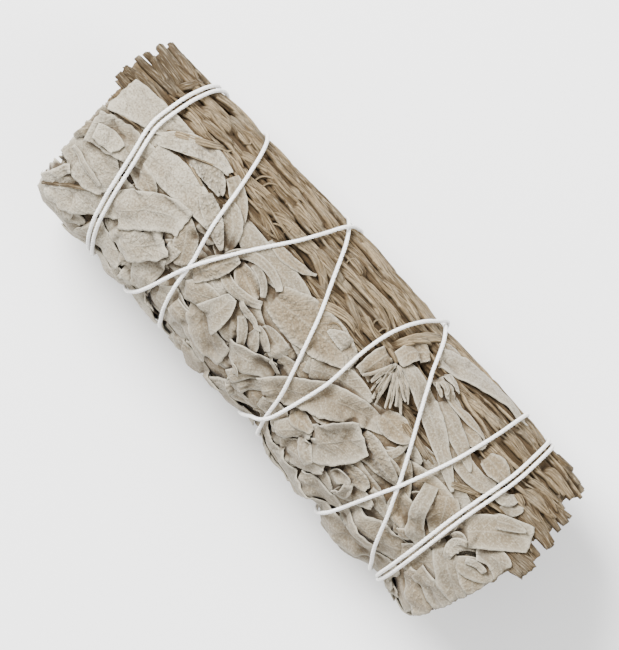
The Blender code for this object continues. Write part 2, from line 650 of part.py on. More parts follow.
def lay_blade(surface, leaf, rows, columns):
    """Places a blade on what is already laid. Returns its node, and its lower and upper points."""
    x, angle = leaf_places(leaf, rows, columns)
    lift = LIFT * leaf_lift(leaf, rows, columns)
    close_x, close_angle = between(x, FINE), between(angle, FINE)
    best = None
    for node in surface.hosts(close_x, close_angle):
        low, high, sunk = blade_heights(surface, node, x, angle, lift)
        score = min(sunk, ENOUGH_SUNK) - HEIGHT_SCORE * float(high.mean())
        score += HOME_SCORE if node == home_of(angle.mean()) else 0.0
        score += SPRIG_SCORE if node.startswith("leafy_sprig") else 0.0
        if sunk > LEAST_SHARE and (best is None or score > best[0]):
            best = (score, node, low, high)
    if best is None:
        return None
    _, node, low, high = best
    upper = between(cartesian(x, angle, high), DENSE)
    surface.add(node, *cylindrical(upper), CELL)
    return node, (x, angle, low), (x, angle, high)


def home_of(angle):
    """The sprig whose packed middle lies under an angle."""
    start, end = LEAF_SECTOR
    share = (math.degrees(angle) % 360 - start) / (end - start)
    return f"leafy_sprig_{int(share * SPRIGS) + 1}"


def blade_object(low, high):
    """A closed blade between its lower and upper grids of points, split into triangles alike on both faces."""
    rows, columns = low.shape[:2]
    count = rows * columns

    def at(i, k, upper):
        return i * columns + k + (count if upper else 0)

    faces = []
    for i in range(rows - 1):
        for k in range(columns - 1):
            for upper in (False, True):
                a, b = at(i, k, upper), at(i + 1, k, upper)
                c, d = at(i + 1, k + 1, upper), at(i, k + 1, upper)
                pair = [(a, b, c), (a, c, d)] if (i + k) % 2 else [(a, b, d), (b, c, d)]
                faces += pair if upper else [face[::-1] for face in pair]
    rim = [(i, 0) for i in range(rows)] + [(rows - 1, k) for k in range(1, columns)]
    rim += [(i, columns - 1) for i in range(rows - 2, -1, -1)] + [(0, k) for k in range(columns - 2, 0, -1)]
    for (i, k), (j, m) in zip(rim, rim[1:] + rim[:1]):
        a, b, c, d = at(i, k, False), at(j, m, False), at(j, m, True), at(i, k, True)
        faces += [(a, b, c), (a, c, d)]
    obj = object_from("blade", np.concatenate([low.reshape(-1, 3), high.reshape(-1, 3)]), faces)
    face_outwards(obj)
    return obj


# The leaves' own places


def seen_leaves():
    """The leaves of the table, lowest first, each end as x and angle."""
    for x0, y0, x1, y1, *form in LEAVES:
        yield (x0, angle_above(x0, y0)), (x1, angle_above(x1, y1)), *form


def hidden_leaves(target):
    """Random leaves underneath, each where the fewest have been laid so far."""
    draw = random.Random(SEED)
    low, high = HIDDEN_SECTOR
    depth = np.zeros_like(target)
    for _ in range(HIDDEN_LEAVES):
        choices = []
        for _ in range(HIDDEN_CHOICES):
            leaf = random_leaf(draw, HIDDEN_SIZE, draw.random(), draw.uniform(low, high))
            x, angle = leaf_places(leaf, *HIDDEN_CORNERS)
            cells = cells_of(between(x, FINE), between(angle, FINE))
            choices.append((depth[cells].mean(), len(choices), leaf, cells))
        _, _, leaf, cells = min(choices)
        cover = np.zeros_like(depth)
        cover[cells] = 1.0
        depth += cover
        yield leaf


def random_leaf(draw, size, share, degrees):
    """A leaf with its middle at a share of the bundle's length, lying nearly along the bundle."""
    length, width = draw.uniform(*size[0]), draw.uniform(*size[1])
    middle = LEFT_END + END_MARGIN + share * (RIGHT_END - LEFT_END - 2 * END_MARGIN)
    turn = math.radians(draw.uniform(-MOST_TURN, MOST_TURN)) + (math.pi if draw.random() < 0.3 else 0.0)
    step, side = length / 2 * math.cos(turn), length / 2 * math.sin(turn) / NOMINAL_RADIUS
    angle = math.radians(degrees)
    outline = draw.choice((OVAL, OVAL, LANCE, CUT))
    lifts = [draw.choice((0.0, 0.0, 0.3, 0.5)) for _ in range(3)]
    fold = draw.choice((0.0, 0.3, 0.5, -0.3))
    bow = draw.uniform(-0.06, 0.06)
    return ((middle - step, angle - side), (middle + step, angle + side), width, outline, bow, fold, *lifts)


# The sprigs' middles


def core_ends(number):
    low, high = CORE_ENDS
    return low - 0.9 * (number % 2), high + 0.7 * (number % 3)


def core_sector(number):
    start, end = LEAF_SECTOR
    width = (end - start) / SPRIGS
    return math.radians(start + number * width), math.radians(start + (number + 1) * width)


def core_floor(given):
    """The radius of the packed middles over the grid, where they have given way by so much."""
    return np.maximum(outline_radius(GRID_X[:, None], GRID_ANGLE[None, :]) - CORE_INSET - given, LEAST_CORE)


def core_rings(number, floor):
    """x, angle and radius of the outer side of a sprig's packed middle, a row of points at each station."""
    a0, a1 = core_sector(number)
    along = np.linspace(*core_ends(number), CORE_STATIONS)
    stations, share = np.meshgrid(along, np.linspace(0, 1, CORE_SIDES), indexing="ij")
    angle = a0 + (a1 - a0) * share
    radius = blurred(floor, CORE_BLUR)[cells_of(stations, angle)]
    edge = (share == 0.0).astype(float) - (share == 1.0)
    return stations, angle + edge * HALF_GAP / radius, radius


def core_object(number, floor, remap):
    """A sprig's packed middle: a wedge of the bundle, with a plain hole for the sprig's stem."""
    x, angle, radius = core_rings(number, floor)
    outer = cartesian(x, angle, remap(x, angle, radius))
    a0, a1 = core_sector(number)
    inset = HALF_GAP / CORE_INNER
    inner_angle = np.linspace(a1 - inset, a0 + inset, 3)[None, :] + 0 * x[:, :3]
    inner = cartesian(x[:, :3], inner_angle, np.full_like(inner_angle, CORE_INNER))
    rings = np.concatenate([outer, inner], axis=1)
    stations, sides = rings.shape[:2]
    faces = []
    for i in range(stations - 1):
        for k in range(sides):
            a, b = i * sides + k, i * sides + (k + 1) % sides
            faces += [(a, b, b + sides), (a, b + sides, a + sides)]
    faces.append(tuple(range(sides))[::-1])
    faces.append(tuple((stations - 1) * sides + k for k in range(sides)))
    obj = object_from(f"leafy_sprig_{number + 1}", rings.reshape(-1, 3), faces, MATERIALS["sage_leaf"])
    face_outwards(obj)
    hole = tube("hole", straight_stem(sprig_stem_place(number), HOLE_LENGTH), HOLE_DIAMETER, 8)
    apply_boolean(obj, "DIFFERENCE", [hole])
    return obj


# Stems


def straight_stem(place, length, middle=0.0):
    """The two ends of a straight stem along X at an angle and radius."""
    angle, radius = place
    x = np.array([middle - length / 2, middle + length / 2])
    return cartesian(x, np.full(2, angle), np.full(2, radius))


def sprig_stem_place(number):
    """Angle and radius of a sprig's own stem."""
    a0, a1 = core_sector(number)
    return (a0 + a1) / 2, SPRIG_STEM[1]


def stem_span(number):
    """A stem's ends along X, a little different for each."""
    left = STEM_LEFT + STEM_RAGGED[0] * math.sin(2.4 * number)
    right = STEM_RIGHT + STEM_RAGGED[1] * math.sin(1.7 * number + 0.8)
    return left, right


def layer_stem(number, depth, degrees, arc, points):
    """A bare stem's path along the bundle, and its width at each point, which fills the room it has."""
    x = np.linspace(*stem_span(number), points)
    angle = np.radians(degrees + SWAY * np.sin(x / SWAY_LENGTH + 0.6))
    radius = outline_radius(x, angle) - depth
    apart = 2 * radius * math.sin(arc / 2)
    width = np.clip(apart - CLEARANCE, *STEM_WIDTHS) - STEM_TAPER * (1 + np.sin(0.3 * x + 2.0 * number))
    return cartesian(x, angle, radius), width


def make_stems(surface):
    """Bare stems: the outer layer, the layers under it, the sprigs' own stems and those in the middle."""
    material = MATERIALS["sage_stem"]
    stems = {}
    for layer, count, depth, first, spacing in STEM_LAYERS:
        arc = spacing / (NOMINAL_RADIUS - depth)
        for i in range(count):
            name = f"{layer}_stem_{i + 1}"
            degrees = first - math.degrees(arc) * i
            points = 8 if layer == "outer" else 5
            path, width = layer_stem(i + len(layer), depth, degrees, arc, points)
            stems[name] = tube(name, path, width, 7 if layer == "outer" else 6, material)
            if layer == "outer":
                surface.add(name, *cylindrical(between(rings_along(path, width, 21), DENSE)), CELL)
    count, diameter, radius = INNER_STEMS
    places = [(0.0, 0.0)] + [(2 * math.pi * i / count, radius) for i in range(count)]
    for i, place in enumerate(places):
        left, right = stem_span(i + 5)
        name = f"inner_stem_{i + 1}"
        right += INNER_LONGER
        path = straight_stem(place, right - left, (left + right) / 2)
        stems[name] = tube(name, path, diameter, 6, material)
    for i in range(SPRIGS):
        left, right = stem_span(i + 9)
        name = f"sprig_stem_{i + 1}"
        path = straight_stem(sprig_stem_place(i), right - left, (left + right) / 2)
        stems[name] = tube(name, path, SPRIG_STEM[0], 6, material)
    return stems


# The whole bunch


def seed_cores(surface):
    for number in range(SPRIGS):
        points = cartesian(*core_rings(number, surface.floor))
        surface.add(f"leafy_sprig_{number + 1}", *cylindrical(between(points, DENSE)))


def target_radius(route):
    """The surface that the leaves are brought to: the outline, pulled in under the string."""
    return outline_radius(GRID_X[:, None], GRID_ANGLE[None, :]) - INSET - string_pull(route)


def lay_leaves(stem_tops, target, pull):
    """Lays every leaf on packed middles that give way where the leaves pile up. Returns the surface and the blades."""
    given = np.zeros_like(target)
    for _ in range(SETTLINGS):
        surface = Surface(core_floor(given))
        surface.tops.update(stem_tops)
        seed_cores(surface)
        laid = []
        for leaf in hidden_leaves(target):
            laid.append(lay_blade(surface, leaf, *HIDDEN_CORNERS))
        for leaf in seen_leaves():
            laid.append(lay_blade(surface, leaf, *corners_for(leaf)))
        over = np.where(surface.whole() > SCALE_BASE, surface.whole(), surface.floor) - target
        given = np.clip(given + blurred(over + PRESS * pull, GIVE_BLUR), *GIVE)
    return surface, [blade for blade in laid if blade]


def remap_of(surface, target):
    """A smooth change of radius that brings the laid surface to its target."""
    laid = np.where(surface.whole() > SCALE_BASE, surface.whole(), surface.floor)
    mean = blurred(laid, MEAN_BLUR)
    scale = np.clip((target - SCALE_BASE) / (mean - SCALE_BASE), *SCALE_LIMITS)
    scale = 1 + (blurred(scale, SCALE_BLUR) - 1) * leaf_side(GRID_ANGLE)[None, :]

    def remap(x, angle, radius):
        factor = scale[cells_of(np.asarray(x), np.asarray(angle))]
        return np.where(radius > SCALE_BASE, SCALE_BASE + (radius - SCALE_BASE) * factor, radius)

    return remap


def string_path(route, surface, target):
    """Evenly spaced points along the middle of the string."""
    x, angle = route
    points = cartesian(x, angle, string_radius(route, surface, target))
    steps = np.concatenate([[0.0], np.cumsum(np.linalg.norm(np.diff(points, axis=0), axis=1))])
    wanted = np.linspace(0, steps[-1], int(round(steps[-1] / STRING_STEP)) + 1)
    return np.stack([np.interp(wanted, steps, points[:, axis]) for axis in range(3)], axis=1)


def make_bunch():
    route = route_over_bundle()
    target = target_radius(route)
    bare = Surface()
    stems = make_stems(bare)
    surface, laid = lay_leaves(bare.tops, target, string_pull(route))
    remap = remap_of(surface, target)
    nodes = {f"leafy_sprig_{i + 1}": core_object(i, surface.floor, remap) for i in range(SPRIGS)}
    nodes.update(stems)
    final = Surface()
    for name, top in surface.tops.items():
        inside = top > 0
        rows, columns = np.nonzero(inside)
        radius = remap(GRID_X[rows], GRID_ANGLE[columns], top[inside])
        final.add(name, GRID_X[rows], GRID_ANGLE[columns], radius)
    blades = {}
    for node, (x, angle, low), (_, _, high) in laid:
        low, high = remap(x, angle, low), remap(x, angle, high)
        blades.setdefault(node, []).append(blade_object(cartesian(x, angle, low), cartesian(x, angle, high)))
    for name, own in blades.items():
        apply_boolean(nodes[name], "UNION", own)
        keep_largest_body(nodes[name])
    path = string_path(route, final.whole(), target)
    string = tube("cotton_string", path, STRING, 5, MATERIALS["cotton"])
    for name in nodes:
        if not name.startswith(("leafy_sprig", "outer_stem")):
            continue
        cutters = [tube("groove", path, STRING + 2 * STRING_GAP, 6)]
        if name.startswith("leafy_sprig"):
            cutters.append(ground_block())
        apply_boolean(nodes[name], "DIFFERENCE", cutters)
        keep_largest_body(nodes[name])
    tie_knot(string, path)
    centre_on_origin(list(nodes.values()) + [string])


def centre_on_origin(objects):
    """Brings the middle of the whole bunch over the origin."""
    points = np.concatenate([[v.co[:] for v in obj.data.vertices] for obj in objects])
    low, high = points.min(axis=0), points.max(axis=0)
    shift = Matrix.Translation((-(low[0] + high[0]) / 2, -(low[1] + high[1]) / 2, -low[2]))
    for obj in objects:
        obj.data.transform(shift)


def ground_block():
    """Everything below the plane that the bunch lies on."""
    size = GROUND_SIZE
    corners = [(x, y, z) for x in (-size, size) for y in (-size, size) for z in (-size, 0.0)]
    faces = [(0, 1, 3, 2), (4, 6, 7, 5), (0, 4, 5, 1), (2, 3, 7, 6), (0, 2, 6, 4), (1, 5, 7, 3)]
    block = object_from("ground", corners, faces)
    face_outwards(block)
    return block


def tie_knot(string, path):
    """The knot that joins the string's two ends, with their short tails."""
    middle = (path[0] + path[-1]) / 2
    outward = middle * (0, 1, 1) - (0, 0, CENTRE_HEIGHT)
    outward /= np.linalg.norm(outward)
    down = np.cross((1.0, 0.0, 0.0), outward)
    shape = bmesh.new()
    bmesh.ops.create_icosphere(shape, subdivisions=2, radius=KNOT_RADIUS)
    points = [middle + outward * KNOT_LIFT + np.array(v.co[:]) for v in shape.verts]
    faces = [tuple(v.index for v in f.verts) for f in shape.faces]
    shape.free()
    knot = object_from("knot", points, faces)
    face_outwards(knot)
    tails = []
    for slant, length in TAILS:
        reach = np.linspace(0.0, length, 4)[:, None]
        tail = middle + outward * (KNOT_LIFT + TAIL_RISE * np.sqrt(reach)) + reach * (down + (slant, 0.0, 0.0))
        tails.append(tube("tail", tail, STRING, 5))
    apply_boolean(string, "UNION", [knot] + tails)
    keep_largest_body(string)


def clear_scene():
    for obj in list(bpy.data.objects):
        bpy.data.objects.remove(obj)


clear_scene()
MATERIALS = {name: new_material(name) for name in COLOURS}
make_bunch()
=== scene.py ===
"""Looks for the dried sage bunch: felted grey leaves, ridged tan stems and a twisted cotton string.

Lengths are in millimetres until a mesh is made. A place on the bunch is (x, angle, radius). The angle runs
round the bunch's own middle line, from the bare stems (+Y) over the top (90 degrees) to the leaves (-Y) and
underneath.
"""

import math
import random

import bpy
import numpy as np
from mathutils import Matrix, Vector

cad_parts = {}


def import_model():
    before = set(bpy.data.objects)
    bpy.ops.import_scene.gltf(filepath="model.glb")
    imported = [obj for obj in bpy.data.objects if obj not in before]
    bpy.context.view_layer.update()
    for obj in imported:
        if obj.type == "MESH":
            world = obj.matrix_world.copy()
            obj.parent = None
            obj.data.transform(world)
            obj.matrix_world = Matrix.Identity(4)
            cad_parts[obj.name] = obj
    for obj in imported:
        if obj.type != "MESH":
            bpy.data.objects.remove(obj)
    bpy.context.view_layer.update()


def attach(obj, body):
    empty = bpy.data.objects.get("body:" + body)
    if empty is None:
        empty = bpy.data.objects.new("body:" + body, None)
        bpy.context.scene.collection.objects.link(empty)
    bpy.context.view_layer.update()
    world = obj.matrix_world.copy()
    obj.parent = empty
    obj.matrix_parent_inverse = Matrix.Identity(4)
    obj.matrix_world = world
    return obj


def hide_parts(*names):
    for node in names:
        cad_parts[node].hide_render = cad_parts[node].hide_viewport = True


MM = 0.001
TURN = 2 * math.pi
# Further than anything here reaches
FAR = 1e3
# Where the bunch's middle line lies: its shift from the origin along X and Y, and its height
MIDDLE = (-0.41, -0.49, 17.5)

# The photograph: its size, the bunch's middle and direction in it, in pixels, and its scale
PHOTO_SIZE = (619, 650)
BUNCH_PIXEL = (309.4, 337.5)
BUNCH_DIRECTION = (0.6678, 0.7443)
MM_PER_PIXEL = 0.168
CAMERA_DISTANCE = 1500.0

# The bundle's outline: x, radius on the stem side (+Y), on the leaf side (-Y) and underneath
OUTLINE = (
    (-52.0, 16.2, 16.4, 15.8),
    (-47.0, 16.5, 18.0, 16.0),
    (-37.0, 17.4, 18.6, 16.3),
    (-25.0, 17.6, 18.0, 17.4),
    (-16.0, 17.9, 17.8, 16.3),
    (-6.0, 18.6, 17.5, 16.2),
    (4.0, 18.4, 17.5, 16.2),
    (14.0, 18.5, 18.7, 16.3),
    (26.0, 18.5, 19.2, 17.4),
    (36.0, 18.6, 19.2, 16.3),
    (44.0, 18.4, 18.4, 16.0),
    (52.0, 17.0, 16.0, 15.6),
)
TOP_RADIUS = 16.5
# The radius that turns an angle into a distance round the bunch
NOMINAL_RADIUS = 17.5
# Where the leaves end, and how much further they reach at the top of the bunch
LEFT_END, LEFT_END_CROWN = -49.3, 2.2
RIGHT_END, RIGHT_END_CROWN = 47.0, 3.6
BOTH_ENDS = ((LEFT_END, 1.0), (RIGHT_END, -1.0))
# Where the bare stems that show from above end: distance across the bunch, and x
STEMS_LEFT = (
    (-20.0, -50.4), (3.0, -50.8), (5.0, -53.4), (8.0, -53.7), (11.0, -53.0), (13.0, -51.6), (17.0, -51.3)
)
STEMS_RIGHT = (
    (-20.0, 48.4), (-1.0, 49.6), (1.0, 51.6), (4.0, 52.6),
    (6.5, 51.0), (11.0, 50.4), (14.0, 48.8), (17.0, 47.2),
)
# The angles between which the leaves lie, in degrees, how soft the borders are, and how many sprigs there are
LEAF_SECTOR = (84.0, 320.0)
SECTOR_MARGIN, SECTOR_BLEND = 2, 22
SPRIGS = 6
# How far the surface stays inside the outline, and over the ground
INSET = 0.45
LOWEST = 0.05

# The grid on which the relief of what is already laid is kept
CELL = 0.3
TURN_CELLS = 360
GRID_X = np.arange(-60.0, 60.01, CELL)
GRID_ANGLE = np.arange(TURN_CELLS) * TURN / TURN_CELLS
# Keeps a place before the last cell, so that it has a cell on either side
PAST_LAST = 1.001

# The string: its thickness, how high it lies, and how high it may stand over the pressed surface
STRING = 0.72
STRING_LIFT = 0.05
STRING_SNUG = 0.35
# The radius of its tightest bend, how far along a hump lifts it, and how many cells it holds down beside it
STRING_BEND = 7.0
STRING_SPAN = 14.0
STRING_REACH = 6
STRING_STEP, STRING_SIDES = 0.5, 12
STRANDS_APART = 1.08
PLIES = 3
PLY_PITCH = 2.6
# It holds what it crosses under its own middle, by a share of its thickness, and less and less beside it
HOLD_UNDER, HOLD_RISE = 0.4, 0.9
# How deep it pulls the surface in, and how wide
PINCH = 0.9
PINCH_WIDTH = 1.9
# The least pull that counts, the share of the pulled cells that stay under full pull, the most pull, and the
# share of it that acts on the bare stems
LEAST_PULL, FULL_PULL, MOST_PULL, STEM_PULL = 0.01, 0.8, 1.25, 0.35
# How even its route is, and how many degrees make another pass of it
ROUTE_SMOOTHING, SAME_PASS = 6.5, 90
# The knot at the back, its size and height, and the two tails: how slanted and how long
KNOT_ANGLE, KNOT_X = 215.0, -35.0
KNOT_SIZE, KNOT_LIFT = 0.42, 0.6
TAILS = ((0.6, 5.0), (-0.6, 6.5))

# Where each pass of the string shows from above: x, and distance across the bunch
FIRST_WRAP = (
    (-41.3, 16.7), (-42.9, 12.6), (-43.8, 4.3), (-41.9, -1.3), (-40.5, -6.9), (-39.1, -12.0), (-35.5, -18.2)
)
PASS_A = ((-29.9, 17.4), (-26.0, 6.9), (-24.7, 0.6), (-22.3, -6.3), (-21.3, -11.7), (-18.9, -16.9))
PASS_B = ((-8.0, 18.2), (-12.8, 9.9), (-18.3, 0.8), (-22.2, -7.0), (-23.4, -11.8), (-25.1, -17.0))
PASS_C = ((-10.2, 18.0), (-5.3, 10.5), (-1.4, 3.5), (2.1, -5.1), (4.0, -9.9), (5.6, -16.9))
PASS_D = (
    (13.3, 18.4), (10.0, 14.7), (8.3, 10.7), (7.6, 4.7), (7.9, -2.6), (6.8, -9.1), (5.7, -14.2), (1.9, -17.4)
)
PASS_E = ((14.1, 18.0), (17.0, 13.1), (20.3, 7.4), (26.5, -2.4), (31.1, -10.8), (35.4, -18.6))
PASS_F = ((34.0, 18.4), (33.1, 12.8), (31.5, 4.8), (28.4, -5.5), (26.2, -11.0), (23.1, -18.6))
LAST_WRAP = ((40.4, 18.3), (40.4, 10.0), (38.8, -1.7), (38.3, -10.4), (37.7, -18.6))
# The passes in the order of winding, with their shift along the bunch
WINDING = (
    (FIRST_WRAP, -STRANDS_APART / 2),
    (PASS_A, 0.0),
    (PASS_C, 0.0),
    (PASS_E, 0.0),
    (LAST_WRAP, -STRANDS_APART / 2),
    (LAST_WRAP, STRANDS_APART / 2),
    (PASS_F, 0.0),
    (PASS_D, 0.0),
    (PASS_B, 0.0),
    (FIRST_WRAP, STRANDS_APART / 2),
)

# Stems, as the frame has them: layers (name, how many, depth, first angle, spacing)
STEM_LAYERS = (
    ("outer", 9, 2.9, 78.0, 3.66),
    ("middle", 7, 5.6, 72.0, 3.4),
    ("deep", 5, 8.6, 66.0, 3.1),
)
# The depth at which the spacing of the outer ones is measured
OUTER_ROW_DEPTH = 2.05
STEM_WIDTHS = (2.5, 3.5)
STEM_GAP = 0.32
STEM_RAGGED = (0.5, 0.8)
HIDDEN_LEFT, HIDDEN_RIGHT = -50.0, 48.2
# The stems inside: how many round the middle one, how thick, how far out. Then a sprig's own: thick, far out
INNER_STEMS = (6, 2.8, 3.2)
SPRIG_STEM = (2.7, 7.4)
SWAY, SWAY_LENGTH = 2.2, 15.0
# Ridges of a stem: how many there are round it, and how high
STEM_RIDGES = ((2, 0.08), (3, 0.06), (5, 0.05), (7, 0.045), (11, 0.035))
# A stem's hollow end: the width of each ring as a share, and how deep it lies
STEM_END = ((0.02, 0.25), (0.3, 0.2), (0.55, 0.05), (0.8, -0.05))
# Between which x a stem lies in the dark inside the bunch and gets painted shade, and over what length the
# painted shade begins
STEMS_SHOW, STEM_FADE = (-46.0, 44.0), 4.0
HIDDEN_SIDES = 18
# How far a stem wanders round the bunch, in depth and in width, and where along it its two ends have rings
TURN_WANDER, DEPTH_WANDER, WIDTH_WANDER = 0.012, 0.15, 0.12
END_STATIONS = (0.0, 0.4, 0.9, 1.6, 2.6, 4.0, 6.0, 9.0, 14.0)
# How far its ridges twist, and how high its fine ridge and the roughness of its cut ends are
STEM_TWIST, STEM_FINE, STEM_ROUGH = 0.35, 0.03, 0.35

# Leaf outlines: width at the base and at the tip as shares of the widest, and where that is
CUT = (0.95, 0.35, 0.35)
OVAL = (0.35, 0.3, 0.5)
LANCE = (0.4, 0.14, 0.4)
STRIP = (0.75, 0.6, 0.5)
TORN = (0.8, 0.85, 0.5)
TRIANGLE = (0.95, 0.15, 0.12)
CUT_TIP = (0.4, 0.9, 0.7)
BLUNT = (0.8, 0.75, 0.45)
ROUND = (0.45, 0.45, 0.5)
ROUND_TIP = (0.75, 0.3, 0.55)
TAPERED = (1.0, 0.3, 0.1)

# Leaf surfaces: (crumple, pebbles, tone, torn edge), where tone runs from white (0) to tan (1)
SMOOTH = (0.4, 0.1, 0.35, 0.25)
PLAIN = (0.7, 0.3, 0.4, 0.4)
CRISP = (0.9, 0.2, 0.3, 0.5)
PEBBLY = (0.6, 1.0, 0.5, 0.4)
WHITE = (0.5, 0.6, 0.1, 0.5)
TAN = (0.5, 0.4, 0.95, 0.5)
RAGGED = (0.8, 0.4, 0.55, 1.0)
VELVET = (0.35, 0.8, 0.9, 0.3)
VEINED = (0.3, 0.2, 0.05, 0.2)
TAN_SMOOTH = (0.25, 0.2, 0.85, 0.2)
TAN_CRISP = (1.0, 0.3, 0.95, 0.8)
# The curls of a leaf that has none: left, right and tip
FLAT = (0.0, 0.0, 0.0)

